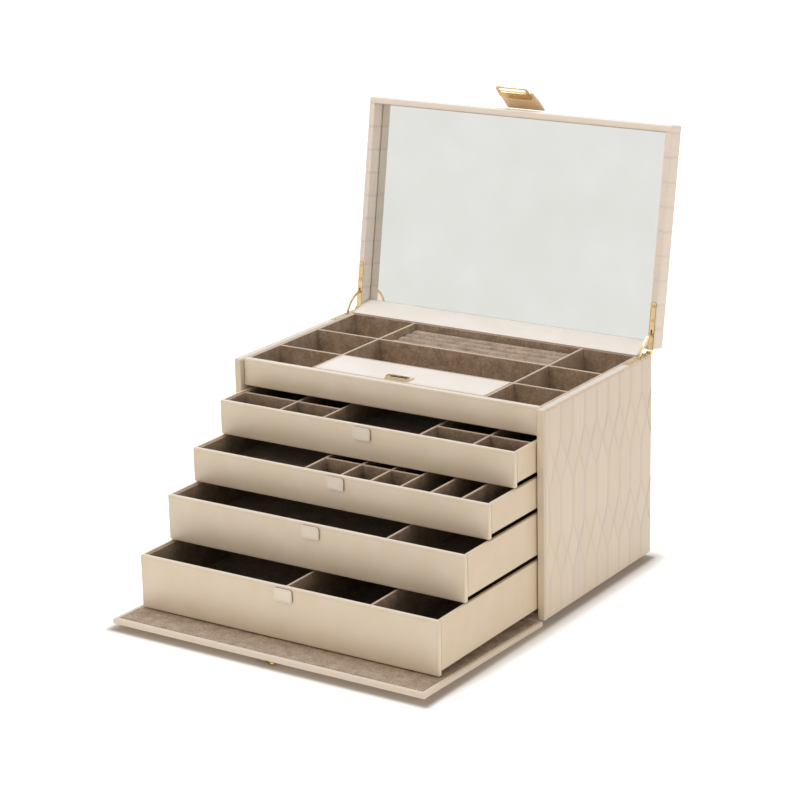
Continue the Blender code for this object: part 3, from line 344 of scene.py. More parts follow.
def suede(name, dark, light, rim, nap=0.5 * mm):
    """Napped suede. The attribute rim_height says where the nap is pulled over an edge and turns pale, with a painted
    highlight there; below the rim, painted shade darkens the cells as far as the insert's share of painted shade asks.
    """
    material, tree, shader, place = new_material(name)
    lean = mottled(tree, place, 11 * mm, dark, light, 0.42, 5)
    fibre = node(tree, "ShaderNodeTexNoise", {"Vector": place, "Scale": 1 / nap, "Detail": 3})
    tuft = node(tree, "ShaderNodeTexNoise", {"Vector": place, "Scale": 1 / (1.9 * mm), "Detail": 5})
    fine = node(tree, "ShaderNodeMapRange", {"Value": fibre.outputs[0], "To Min": 0.68, "To Max": 1.32})
    brushed = node(tree, "ShaderNodeMapRange", {
        "Value": tuft.outputs[0], "From Min": 0.32, "From Max": 0.68, "To Min": 0.76, "To Max": 1.24})
    height = node(tree, "ShaderNodeSeparateXYZ", {0: place}).outputs[2]
    rim_height = node(tree, "ShaderNodeAttribute", attribute_name="rim_height").outputs["Fac"]
    below = node(tree, "ShaderNodeMath", {0: height, 1: rim_height}, operation="SUBTRACT").outputs[0]
    has_rim = node(tree, "ShaderNodeMath", {0: rim_height, 1: 1 * mm}, operation="GREATER_THAN").outputs[0]
    # Painted shade: below the rim the suede is darkened with depth, down to 53 % at 14 mm, in the share that the
    # insert asks.
    shade = node(tree, "ShaderNodeMapRange", {
        "Value": below, "From Min": -14 * mm, "From Max": -1 * mm, "To Min": 0.53, "To Max": 1.0}).outputs[0]
    painted_shade_share = node(tree, "ShaderNodeAttribute", attribute_name="painted_shade_share").outputs["Fac"]
    depth_share = node(tree, "ShaderNodeMix", {0: painted_shade_share, 2: 1.0, 3: shade}, data_type="FLOAT").outputs[0]
    value = node(tree, "ShaderNodeMath", {0: fine.outputs[0], 1: brushed.outputs[0]}, operation="MULTIPLY").outputs[0]
    value = node(tree, "ShaderNodeMath", {0: value, 1: depth_share}, operation="MULTIPLY").outputs[0]
    speckled = node(tree, "ShaderNodeHueSaturation", {"Color": lean, "Value": value})
    # Painted highlight: within a millimetre of the rim the nap is paler, for the stretched nap and for a painted
    # highlight, up to 30 % weaker where the insert's share of painted shade is high.
    stretch = node(tree, "ShaderNodeMapRange", {
        "Value": below, "From Min": -1.0 * mm, "From Max": -0.3 * mm}, interpolation_type="SMOOTHSTEP")
    paler = node(tree, "ShaderNodeMapRange", {"Value": painted_shade_share, "To Min": 1.0, "To Max": 0.7}).outputs[0]
    paler = node(tree, "ShaderNodeMath", {0: paler, 1: has_rim}, operation="MULTIPLY").outputs[0]
    pulled_and_lit = node(tree, "ShaderNodeMath", {0: stretch.outputs[0], 1: paler}, operation="MULTIPLY")
    rim_pull_and_highlight = mottled(tree, place, 4 * mm, rim[0], rim[1])
    dye = node(tree, "ShaderNodeMix", {0: pulled_and_lit.outputs[0], 6: speckled.outputs[0], 7: rim_pull_and_highlight}, data_type="RGBA")
    raised = node(tree, "ShaderNodeBump", {"Height": fibre.outputs[0], "Strength": 0.8, "Distance": 0.15 * mm})
    tree.links.new(dye.outputs[2], shader.inputs["Base Color"])
    tree.links.new(raised.outputs[0], shader.inputs["Normal"])
    shader.inputs["Roughness"].default_value = 0.95
    shader.inputs["Sheen Weight"].default_value = 0.3
    shader.inputs["Sheen Roughness"].default_value = 0.5
    shader.inputs["Specular IOR Level"].default_value = 0.15
    return material


napped_suede = suede("napped goat suede", "9C8876", "BDA995", ("D0BBA7", "DECCB9"))
print("leather and suede ready")

# %% [markdown]
# The metal is polished brass with a thin lacquer, the mirror is float glass silvered on its back, and
# the thread is waxed linen a shade paler than the hide.

# %% Brass, mirror and thread
def brass_finish():
    material, tree, shader, place = new_material("polished lacquered brass")
    tint = mottled(tree, place, 6 * mm, "D0AF78", "E4CC9E")
    wear = node(tree, "ShaderNodeTexNoise", {"Vector": place, "Scale": 1 / (0.8 * mm), "Detail": 4})
    rub = node(tree, "ShaderNodeMapRange", {"Value": wear.outputs[0], "To Min": 0.13, "To Max": 0.28})
    tree.links.new(tint, shader.inputs["Base Color"])
    tree.links.new(rub.outputs[0], shader.inputs["Roughness"])
    shader.inputs["Metallic"].default_value = 1.0
    return material


def mirror_finish():
    material, tree, shader, place = new_material("silvered float glass")
    tree.links.new(mottled(tree, place, 60 * mm, "DFE0DA", "E6E6E2"), shader.inputs["Base Color"])
    shader.inputs["Metallic"].default_value = 1.0
    shader.inputs["Roughness"].default_value = 0.03
    return material


def thread_finish():
    material, tree, shader, place = new_material("waxed linen thread")
    tree.links.new(mottled(tree, place, 1.2 * mm, "D9C7AB", "F2E8D6"), shader.inputs["Base Color"])
    shader.inputs["Roughness"].default_value = 0.6
    return material


brass = brass_finish()
mirror_glass = mirror_finish()
linen_thread = thread_finish()
finish_of_slot = {
    "smooth_leather": smooth_leather,
    "embossed_leather": embossed_leather,
    "suede": napped_suede,
    "suede_edge": napped_suede,
    "brass": brass,
    "mirror_glass": mirror_glass,
}
print(len(finish_of_slot), "finishes for", sorted(set(slot_of.values())))

# %% [markdown]
# ## Turning a CAD solid into a made piece
#
# A CAD solid has knife-sharp edges, and nothing wrapped in leather has those: the hide turns each edge in
# a small round. So each piece starts as a copy of its solid, with the loose triangles merged back into
# whole faces, and then every edge sharper than 30 degrees gets a bevel of the wrap's own radius.

# %% Piece helpers
def add_piece(name, mesh, finish, body, slot, *stands_for):
    """Links a finished mesh as a piece that rides on a body and may stand for CAD nodes."""
    piece = bpy.data.objects.new(name, mesh)
    bpy.context.scene.collection.objects.link(piece)
    if not mesh.materials:
        mesh.materials.append(finish)
    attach(piece, body)
    if stands_for:
        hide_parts(*stands_for)
    return piece


def merged_copy(cad_node, name):
    """A copy of a CAD node's mesh with its triangles merged into whole faces."""
    bm = bmesh.new()
    bm.from_mesh(nodes[cad_node].data)
    bmesh.ops.remove_doubles(bm, verts=bm.verts, dist=0.001 * mm)
    bmesh.ops.dissolve_limit(bm, angle_limit=math.radians(0.5), verts=bm.verts, edges=bm.edges)
    mesh = bpy.data.meshes.new(name)
    bm.to_mesh(mesh)
    bm.free()
    for attribute in [a for a in mesh.attributes if a.name in ("custom_normal", "sharp_edge", "sharp_face")]:
        mesh.attributes.remove(attribute)
    mesh.materials.clear()
    return mesh


def plain_mesh(source):
    """The evaluated mesh of an object, with its modifiers baked in and the object removed."""
    depsgraph = bpy.context.evaluated_depsgraph_get()
    mesh = bpy.data.meshes.new_from_object(source.evaluated_get(depsgraph))
    mesh.name = source.name
    bpy.data.objects.remove(source)
    return mesh


def softened(cad_node, name, radius, segments=3, angle=30):
    source = bpy.data.objects.new(name, merged_copy(cad_node, name))
    bpy.context.scene.collection.objects.link(source)
    for polygon in source.data.polygons:
        polygon.use_smooth = True
    edge = source.modifiers.new("wrap radius", "BEVEL")
    edge.width = radius
    edge.segments = segments
    edge.limit_method = "ANGLE"
    edge.angle_limit = math.radians(angle)
    edge.use_clamp_overlap = True
    edge.harden_normals = True
    return plain_mesh(source)


def second_colour_where(mesh, test):
    """Marks the faces that pass a test, for a leather with a second colour."""
    second_colour = mesh.attributes.new("second_colour", "FLOAT", "FACE")
    second_colour.data.foreach_set("value", [float(test(face)) for face in mesh.polygons])


def dress(cad_node, name, radius, segments=3, finish=None):
    """A softened copy in the finish of its slot, which stands for its CAD node."""
    slot = slot_of[cad_node]
    return add_piece(name, softened(cad_node, name, radius, segments), finish or finish_of_slot[slot],
                     body_of[cad_node], slot, cad_node)


for cad_node, cad_object in nodes.items():
    cad_object.data.materials.clear()
    cad_object.data.materials.append(finish_of_slot[slot_of[cad_node]])
print("all CAD nodes carry their finish")

# %% [markdown]
# ## Geometry Nodes: one helper to grow a mesh from a rule
#
# Stitches, screws, pressed cells and padded rolls repeat by rule, and Geometry Nodes draw a rule well: a
# tree with named sizes that can be read and changed. Each tree runs once on its host object, and the
# result is kept as a plain mesh, so that nothing live rides on the frame.

# %% Tree helpers
def new_tree(name, **sizes):
    """A geometry tree with one input for each named size. Returns the tree and its inputs."""
    tree = bpy.data.node_groups.new(name, "GeometryNodeTree")
    tree.interface.new_socket("Geometry", in_out="INPUT", socket_type="NodeSocketGeometry")
    for label, kind in sizes.items():
        tree.interface.new_socket(label, in_out="INPUT", socket_type="NodeSocket" + kind)
    tree.interface.new_socket("Geometry", in_out="OUTPUT", socket_type="NodeSocketGeometry")
    return tree, node(tree, "NodeGroupInput").outputs


def close_tree(tree, geometry, finish):
    """Ends a tree as a piece needs it: real faces, smooth shading and a finish."""
    real = node(tree, "GeometryNodeRealizeInstances", {0: geometry})
    smooth = node(tree, "GeometryNodeSetShadeSmooth", {0: real.outputs[0]})
    painted = node(tree, "GeometryNodeSetMaterial", {0: smooth.outputs[0], "Material": finish})
    node(tree, "NodeGroupOutput", {0: painted.outputs[0]})


def maths(tree, operation, first, second=0.0):
    return node(tree, "ShaderNodeMath", {0: first, 1: second}, operation=operation).outputs[0]


def vector(tree, x=0.0, y=0.0, z=0.0):
    return node(tree, "ShaderNodeCombineXYZ", {0: x, 1: y, 2: z}).outputs[0]


def grown(name, tree, source=None, last=None, **values):
    """Runs a tree once on a source mesh with the given sizes, and returns the plain mesh."""
    host = bpy.data.objects.new(name, source or bpy.data.meshes.new(name))
    bpy.context.scene.collection.objects.link(host)
    rule = host.modifiers.new("rule", "NODES")
    rule.node_group = tree
    for item in tree.interface.items_tree:
        if item.in_out == "INPUT" and item.name in values:
            rule[item.identifier] = values[item.name]
    if last:
        host.modifiers.new("last", last)
    return plain_mesh(host)


print("tree helpers ready")

# %% [markdown]
# ## The pressed pattern
#
# The case, the lid and the flap are covered in hide pressed with long six-sided cells, 22 mm across and
# 90 mm long. Their columns stand side by side and their tips touch, so a diamond is left between four of
# them. The rule: one grid of stretched hexagons, one grid of diamonds half a step away, both drawn in to the
# board's border. Then each face is raised in two steps, a short one for the crease and a long one for its
# cushion. The long seams between the columns run on over the board's edges, so the board itself, cut across
# on those lines, is pushed in there by a third of a millimetre.

# %% Pressed cells
def spots(tree, size, step, row_step, counts, half, reach):
    """Points of one grid about the shifted middle, less those whose cells would lie outside the border."""
    columns, rows, offset = counts
    index = node(tree, "GeometryNodeInputIndex").outputs[0]
    row = maths(tree, "FLOOR", maths(tree, "DIVIDE", maths(tree, "ADD", index, 0.5), columns))
    column = maths(tree, "SUBTRACT", index, maths(tree, "MULTIPLY", row, columns))
    x = maths(tree, "MULTIPLY", maths(tree, "SUBTRACT", column, offset[0]), step)
    y = maths(tree, "MULTIPLY", maths(tree, "SUBTRACT", row, offset[1]), row_step)
    points = node(tree, "GeometryNodePoints", {
        "Count": columns * rows, "Position": vector(tree, maths(tree, "ADD", x, size["Shift"]), y)})
    place = node(tree, "GeometryNodeInputPosition").outputs[0]
    part = node(tree, "ShaderNodeSeparateXYZ", {
        0: node(tree, "ShaderNodeVectorMath", {0: place}, operation="ABSOLUTE").outputs[0]}).outputs
    outside = [maths(tree, "GREATER_THAN", part[i], maths(tree, "ADD", half[i], maths(
        tree, "SUBTRACT", maths(tree, "MULTIPLY", (step, row_step)[i], reach[i]), 0.3 * mm))) for i in (0, 1)]
    return node(tree, "GeometryNodeDeleteGeometry", {
        0: points.outputs[0], 1: maths(tree, "MAXIMUM", *outside)}, domain="POINT").outputs[0]


def pressed_cells_tree():
    tree, size = new_tree(
        "pressed cells", Width="Float", Height="Float", Pitch="Float", Period="Float", Shift="Float",
        Relief="Float", Slope="Float", Gathered="Float", Sunk="Float", Place="Vector", Turn="Vector", Seed="Int",
        Finish="Material")
    step, row_step = size["Pitch"], size["Period"]
    half = [maths(tree, "MULTIPLY", size[side], 0.5) for side in ("Width", "Height")]
    shapes = []
    for vertices, counts, reach, stretch, turn in (
            (6, (16, 7, (7.5, 3)), (0.5, 0.5), (0.5, 1 / math.sqrt(3)), math.pi / 2),
            (4, (17, 8, (8, 3.5)), (0.5, 0.25), (0.5, 0.25), 0.0)):
        cell = node(tree, "GeometryNodeMeshCircle", {"Vertices": vertices, "Radius": 1.0}, fill_type="NGON")
        sides = (row_step, step) if turn else (step, row_step)
        placed = node(tree, "GeometryNodeInstanceOnPoints", {
            "Points": spots(tree, size, step, row_step, counts, half, reach), "Instance": cell.outputs[0],
            "Rotation": node(tree, "FunctionNodeEulerToRotation", {0: (0, 0, turn)}).outputs[0],
            "Scale": vector(tree, *[maths(tree, "MULTIPLY", s, share) for s, share in zip(sides, stretch)], 1.0)})
        shapes.append(node(tree, "GeometryNodeRealizeInstances", {0: placed.outputs[0]}).outputs[0])
    tiles = node(tree, "GeometryNodeJoinGeometry", {0: shapes[0]})
    tree.links.new(shapes[1], tiles.inputs[0])
    place = node(tree, "GeometryNodeInputPosition").outputs[0]
    corner = vector(tree, *half, 1.0)
    opposite = node(tree, "ShaderNodeVectorMath", {0: corner, "Scale": -1.0}, operation="SCALE").outputs[0]
    low = node(tree, "ShaderNodeVectorMath", {0: place, 1: opposite}, operation="MAXIMUM").outputs[0]
    inside = node(tree, "ShaderNodeVectorMath", {0: low, 1: corner}, operation="MINIMUM").outputs[0]
    trimmed = node(tree, "GeometryNodeSetPosition", {0: tiles.outputs[0], "Position": inside})
    merged = node(tree, "GeometryNodeMergeByDistance", {0: trimmed.outputs[0], "Distance": 0.05 * mm})
    chance = node(tree, "FunctionNodeRandomValue", {2: -1.0, 3: 1.0, "Seed": size["Seed"]}, data_type="FLOAT")
    cells = node(tree, "GeometryNodeStoreNamedAttribute", {
        0: merged.outputs[0], "Name": "tone", "Value": chance.outputs[1]}, data_type="FLOAT", domain="FACE").outputs[0]
    top = True
    for rise_share, slope_share in ((0.6, 1.0), (0.4, 3.0)):
        lifted = node(tree, "GeometryNodeExtrudeMesh", {
            0: cells, "Selection": top, "Offset": (0, 0, 1),
            "Offset Scale": maths(tree, "MULTIPLY", size["Relief"], rise_share)}, mode="FACES").outputs
        cells = lifted["Mesh"]
        if top is True:
            # The groove walls get a crease share, for the painted shade of the grooves.
            cells = node(tree, "GeometryNodeStoreNamedAttribute", {
                0: cells, 1: lifted["Side"], "Name": "crease", "Value": size["Gathered"]},
                data_type="FLOAT", domain="FACE").outputs[0]
        top = lifted["Top"]
        for length, axis in ((step, (1, 0, 0)), (row_step, (0, 1, 0))):
            share = maths(tree, "DIVIDE", maths(tree, "MULTIPLY", size["Slope"], 2 * slope_share), length)
            cells = node(tree, "GeometryNodeScaleElements", {
                0: cells, "Selection": top, "Scale": maths(tree, "SUBTRACT", 1, share), "Axis": axis},
                domain="FACE", scale_mode="SINGLE_AXIS").outputs[0]
    turned = node(tree, "FunctionNodeEulerToRotation", {0: size["Turn"]}).outputs[0]
    finished = node(tree, "GeometryNodeTransform", {0: cells, "Translation": size["Place"], "Rotation": turned})

    from_place = node(tree, "ShaderNodeVectorMath", {0: place, 1: size["Place"]}, operation="SUBTRACT").outputs[0]
    local = node(tree, "FunctionNodeRotateVector", {
        0: from_place, 1: node(tree, "FunctionNodeInvertRotation", {0: turned}).outputs[0]}).outputs[0]
    along = node(tree, "ShaderNodeSeparateXYZ", {0: local}).outputs[0]
    off_line = maths(tree, "PINGPONG", maths(tree, "SUBTRACT", along, size["Shift"]), maths(tree, "MULTIPLY", step, 0.5))
    near = node(tree, "ShaderNodeMapRange", {"Value": off_line, "From Max": 1.8 * mm, "To Min": 1.0, "To Max": 0.0},
                interpolation_type="SMOOTHSTEP").outputs[0]
    held = maths(tree, "LESS_THAN", maths(tree, "ABSOLUTE", along), maths(tree, "SUBTRACT", half[0], 1 * mm))
    push = maths(tree, "MULTIPLY", maths(tree, "MULTIPLY", near, held), maths(tree, "MULTIPLY", size["Sunk"], -1.0))
    inward = node(tree, "ShaderNodeVectorMath", {
        0: node(tree, "GeometryNodeInputNormal").outputs[0], "Scale": push}, operation="SCALE").outputs[0]
    # Near each seam line the board gets a crease share too, for the painted shade there.
    board = node(tree, "GeometryNodeStoreNamedAttribute", {
        0: size["Geometry"], "Name": "crease", "Value": maths(tree, "MULTIPLY", maths(
            tree, "MULTIPLY", near, size["Gathered"]), maths(tree, "GREATER_THAN", size["Sunk"], 0.0))},
        data_type="FLOAT", domain="POINT").outputs[0]
    board = node(tree, "GeometryNodeSetPosition", {0: board, "Offset": inward}).outputs[0]
    both = node(tree, "GeometryNodeJoinGeometry", {0: board})
    tree.links.new(finished.outputs[0], both.inputs[0])
    measured = node(tree, "GeometryNodeStoreNamedAttribute", {
        0: both.outputs[0], "Name": "press", "Value": local}, data_type="FLOAT_VECTOR", domain="POINT")
    close_tree(tree, measured.outputs[0], size["Finish"])
    return tree


pressed_cells = pressed_cells_tree()


def cut_across(mesh, centre, turn, pitch, shift, half):
    """Cuts a board on planes beside each seam line, so that the line can be pushed in."""
    along = turn.to_matrix() @ Vector((1, 0, 0))
    bm = bmesh.new()
    bm.from_mesh(mesh)
    first = math.ceil((-half + 2 * mm - shift) / pitch)
    for line in range(first, math.floor((half - 2 * mm - shift) / pitch) + 1):
        for beside in (-1.8 * mm, -0.8 * mm, 0, 0.8 * mm, 1.8 * mm):
            bmesh.ops.bisect_plane(
                bm, geom=bm.verts[:] + bm.edges[:] + bm.faces[:], dist=0.001 * mm,
                plane_co=centre + along * (shift + line * pitch + beside), plane_no=along)
    bm.to_mesh(mesh)
    bm.free()


def pressed_board(cad_node, name, radius, centre, turn, width, height, seed, pitch=22.1 * mm, shift=0.0,
                  sunk=0.3 * mm, finish=embossed_leather):
    """A softened board with the pressed pattern on one face and its seams running over the edges."""
    centre, turn = Vector(centre), Matrix(turn).to_euler()
    board = softened(cad_node, name + "_board", radius)
    cut_across(board, centre, turn, pitch, shift, width / 2)
    for attribute in [a for a in board.attributes if a.name == "custom_normal"]:
        board.attributes.remove(attribute)
    mesh = grown(
        name, pressed_cells, board, "WEIGHTED_NORMAL", Width=width, Height=height, Pitch=pitch, Period=90 * mm,
        Shift=shift, Relief=0.5 * mm, Slope=1.2 * mm, Gathered=0.32, Sunk=sunk, Place=tuple(centre),
        Turn=tuple(turn), Seed=seed, Finish=finish)
    print(name, "has", len(mesh.polygons), "faces")
    return add_piece(name, mesh, finish, body_of[cad_node], slot_of[cad_node], cad_node)


# %% [markdown]
# ## Case boards
#
# The panels are boards with the pressed hide on the outside and the smooth hide on the edges. The hide is
# about 1 mm thick, so the edges turn at a radius near that, and the pattern stops where the turn begins.

# %% Side panels and back
quarter = math.pi / 2
margin = 1.4 * mm


def turned(*angles):
    """A rotation by its angles about X, Y and Z."""
    return Euler(angles).to_matrix()


for side, sign in (("left", -1), ("right", 1)):
    low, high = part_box("side_panel_" + side)
    outer = high.x if sign > 0 else low.x
    pressed_board(
        "side_panel_" + side, "pressed_side_panel_" + side, 1.1 * mm,
        (outer, (low.y + high.y) / 2, (low.z + high.z) / 2), turned(quarter, 0, sign * quarter),
        high.y - low.y - 2 * margin, high.z - low.z - 2 * margin, 3 + sign, shift=-7.4 * mm * sign)
low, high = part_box("back_panel")
pressed_board(
    "back_panel", "pressed_back_panel", 1.0 * mm,
    (0, high.y, (low.z + high.z) / 2), turned(quarter, 0, 2 * quarter),
    high.x - low.x - 2 * margin, high.z - low.z - 2 * margin, 7)

# %% [markdown]
# ## The lid
#
# The lid leans back on its hinges, so its own axes are turned. One matrix takes the lid's axes to the frame: across,
# along from the hinge, and out from the mirror. The shell wears the pressed hide outside, in a copy painted lighter as
# a painted highlight, with its long axis from side to side, so its seams run over both rims and show as cross bands.

# %% Lid axes and shell
lid_open = math.radians(-99.6)
lid_axis = Vector((0, 105.1 * mm, 207.95 * mm))
lid_turn = Matrix.Rotation(lid_open, 4, "X")
lid_place = Matrix.Translation(lid_axis) @ lid_turn


def on_lid(x, along, out):
    """A point by its place across the lid, its distance from the hinge and its height out of the rim."""
    return lid_place @ Vector((x, -along, out))


lid_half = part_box("lid_shell")[1].x
lid_near, lid_far = 1.9 * mm, 216.2 * mm
lid_crown = 20.15 * mm
pressed_board(
    "lid_shell", "pressed_lid_shell", 1.3 * mm,
    on_lid(0, (lid_near + lid_far) / 2, lid_crown), lid_turn.to_3x3() @ turned(0, 0, quarter),
    lid_far - lid_near - 2 * margin, 2 * lid_half - 2 * margin, 11, 23.4 * mm, -6.45 * mm, finish=lid_leather_painted_lighter)
print("the lid's far edge is at", [round(v, 4) for v in on_lid(0, lid_far, lid_crown)])

# %% [markdown]
# ## Thread
#
# A stitch is a short rounded loop of waxed linen that stands half out of the hide. A row of them follows
# its seam at one pitch. The rule: resample the seam at the pitch, put a small ellipsoid on each point, and
# turn it along the seam. Real thread here is about 0.35 mm thick; at this camera's distance that is under
# one pixel, so the stitches are drawn at 0.45 mm.

# %% Stitch rows
def stitch_tree():
    tree, size = new_tree("stitch row", Pitch="Float", Length="Float", Thickness="Float", Finish="Material")
    seam = node(tree, "GeometryNodeMeshToCurve", {0: size["Geometry"]})
    spaced = node(tree, "GeometryNodeResampleCurve", {0: seam.outputs[0], "Length": size["Pitch"]}, mode="LENGTH")
    along = node(tree, "FunctionNodeAlignRotationToVector", {
        "Vector": node(tree, "GeometryNodeInputTangent").outputs[0]}, axis="X")
    loop = node(tree, "GeometryNodeMeshUVSphere", {"Segments": 6, "Rings": 5, "Radius": 0.5})
    placed = node(tree, "GeometryNodeInstanceOnPoints", {
        "Points": spaced.outputs[0], "Instance": loop.outputs[0], "Rotation": along.outputs[0],
        "Scale": vector(tree, size["Length"], size["Thickness"], size["Thickness"])})
    close_tree(tree, placed.outputs[0], size["Finish"])
    return tree


stitch_row = stitch_tree()


def seam_mesh(name, loops):
    """Seams as chains of edges. Each loop is its points and whether it closes."""
    bm = bmesh.new()
    for points, closed in loops:
        corners = [bm.verts.new(point) for point in points]
        for first, second in zip(corners, corners[1:] + corners[:1] if closed else corners[1:]):
            bm.edges.new((first, second))
    mesh = bpy.data.meshes.new(name)
    bm.to_mesh(mesh)
    bm.free()
    return mesh


def stitches(name, loops, body, slot="smooth_leather", pitch=2.6 * mm):
    mesh = grown(name, stitch_row, seam_mesh(name + "_seam", loops), Pitch=pitch, Length=0.72 * pitch,
                 Thickness=0.45 * mm, Finish=linen_thread)
    print(name, "has", len(mesh.polygons) // 30, "stitches")
    return add_piece(name, mesh, linen_thread, body, slot)


def rounded_rectangle(centre, across, up, width, height, radius, steps=5):
    """Points of a rounded rectangle on the plane of two unit vectors."""
    points = []
    for turn, (sx, sy) in enumerate(((1, 1), (-1, 1), (-1, -1), (1, -1))):
        middle = Vector(centre) + across * sx * (width / 2 - radius) + up * sy * (height / 2 - radius)
        for step in range(steps + 1):
            angle = (turn + step / steps) * quarter
            points.append(middle + across * radius * math.cos(angle) + up * radius * math.sin(angle))
    return points


x_axis, y_axis, z_axis = Vector((1, 0, 0)), Vector((0, 1, 0)), Vector((0, 0, 1))

# %% [markdown]
# ## Drawers
#
# Each drawer is a leather-wrapped front on a thin tray, with a suede insert and a folded pull tab. The tray and insert
# are thin board, so their edges turn at about half a millimetre. Where the suede is pulled over a divider its nap is
# stretched and pale, and its top faces also carry a painted highlight; deeper in its cells the suede carries painted
# shade. The tab's face is painted lighter as a highlight, and its side faces darker as a painted shadow.

# %% Drawer pieces
def insert_piece(cad_node, name, radius, painted_shade_share):
    """A suede insert: the height where its nap is pulled over the edge, and its share of painted shade, which darkens
    its cells with depth and dims the painted highlight on its rim.
    """
    mesh = softened(cad_node, name, radius)
    for label, value in (("rim_height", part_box(cad_node)[1].z), ("painted_shade_share", painted_shade_share)):
        mesh.attributes.new(label, "FLOAT", "POINT").data.foreach_set("value", [value] * len(mesh.vertices))
    return add_piece(name, mesh, napped_suede, body_of[cad_node], slot_of[cad_node], cad_node)


for number in (1, 2, 3, 4):
    drawer = f"drawer_{number}"
    dress(drawer + "_front", drawer + "_wrapped_front", 0.7 * mm)
    dress(drawer + "_tray", drawer + "_wrapped_tray", 0.35 * mm, finish=tray_leather)
    tab = dress(drawer + "_tab", drawer + "_pull_tab", 0.3 * mm, finish=tab_leather)
    # Painted shadow: the tab's side faces, turned off the front, take the dark edge colour.
    second_colour_where(tab.data, lambda face: face.normal.y > -0.75)
    insert_piece(drawer + "_lining", drawer + "_suede_insert", 0.45 * mm, 1.0)
    low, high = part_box(drawer + "_front")
    seam = 2.2 * mm
    front = rounded_rectangle(
        ((low.x + high.x) / 2, low.y, (low.z + high.z) / 2), x_axis, z_axis,
        high.x - low.x - 2 * seam, high.z - low.z - 2 * seam, 0.8 * mm)
    tab_low, tab_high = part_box(drawer + "_tab")
    tab = rounded_rectangle(
        ((tab_low.x + tab_high.x) / 2, tab_low.y, (tab_low.z + tab_high.z) / 2), x_axis, z_axis,
        tab_high.x - tab_low.x - 3 * mm, tab_high.z - tab_low.z - 3 * mm, 1.6 * mm)
    stitches(drawer + "_thread", [(front, True), (tab, True)], drawer)

# %% [markdown]
# ## The open tray
#
# The tray is one suede-covered grid under the lid. In its back cell lie five padded rolls that grip rings.
# A roll is firm foam in suede, nearly round, with its ends drawn in and its length a little uneven where
# the foam was cut. It is held straight between two walls, so it is shaped by rule, not by a simulation.

# %% Tray and ring rolls
dress("tray_front", "wrapped_tray_front", 0.8 * mm)
for cad_node in ["tray_floor", "base_board", "base_plinth"] + [f"drawer_runner_{number}" for number in (1, 2, 3, 4)]:
    dress(cad_node, "wrapped_" + cad_node, 0.4 * mm, 2)
low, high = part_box("tray_front")
stitches("tray_front_thread", [(rounded_rectangle(
    ((low.x + high.x) / 2, low.y, (low.z + high.z) / 2), x_axis, z_axis,
    high.x - low.x - 2 * seam, high.z - low.z - 2 * seam, 0.8 * mm), True)], "case")
insert_piece("tray_insert", "tray_suede_insert", 0.5 * mm, 0.15)


def ring_roll_tree():
    tree, size = new_tree("ring rolls", Length="Float", Radius="Float", Pitch="Float", Count="Int",
                          Place="Vector", Uneven="Float", Finish="Material")
    half = maths(tree, "MULTIPLY", size["Length"], 0.5)
    line = node(tree, "GeometryNodeCurvePrimitiveLine", {
        "Start": vector(tree, maths(tree, "MULTIPLY", half, -1.0)), "End": vector(tree, half)})
    spaced = node(tree, "GeometryNodeResampleCurve", {0: line.outputs[0], "Count": 90}, mode="COUNT")
    x = node(tree, "ShaderNodeSeparateXYZ", {0: node(tree, "GeometryNodeInputPosition").outputs[0]}).outputs[0]
    to_end = maths(tree, "SUBTRACT", half, node(tree, "ShaderNodeMath", {0: x}, operation="ABSOLUTE").outputs[0])
    near = node(tree, "ShaderNodeMapRange", {"Value": to_end, "From Max": 3.5 * mm, "To Min": 0.72},
                interpolation_type="SMOOTHERSTEP").outputs[0]
    ring = node(tree, "GeometryNodeCurvePrimitiveCircle", {"Resolution": 28, "Radius": size["Radius"]})
    roll = node(tree, "GeometryNodeCurveToMesh", {
        "Curve": spaced.outputs[0], "Profile Curve": ring.outputs[0], "Scale": near, "Fill Caps": True})
    count_line = node(tree, "GeometryNodePoints", {
        "Count": size["Count"],
        "Position": vector(tree, 0.0, maths(tree, "MULTIPLY", size["Pitch"],
                                            node(tree, "GeometryNodeInputIndex").outputs[0]))})
    placed = node(tree, "GeometryNodeInstanceOnPoints", {
        "Points": count_line.outputs[0], "Instance": roll.outputs[0]})
    real = node(tree, "GeometryNodeRealizeInstances", {0: placed.outputs[0]})
    noise = node(tree, "ShaderNodeTexNoise", {"Scale": 1 / (16 * mm), "Detail": 2.0})
    wander = node(tree, "ShaderNodeVectorMath", {0: noise.outputs["Color"], 1: (0.5, 0.5, 0.5)},
                  operation="SUBTRACT")
    push = node(tree, "ShaderNodeVectorMath", {0: wander.outputs[0], "Scale": size["Uneven"]}, operation="SCALE")
    uneven = node(tree, "GeometryNodeSetPosition", {0: real.outputs[0], "Offset": push.outputs[0]})
    moved = node(tree, "GeometryNodeTransform", {0: uneven.outputs[0], "Translation": size["Place"]})
    both = node(tree, "GeometryNodeJoinGeometry", {0: size["Geometry"]})
    tree.links.new(moved.outputs[0], both.inputs[0])
    close_tree(tree, both.outputs[0], size["Finish"])
    return tree


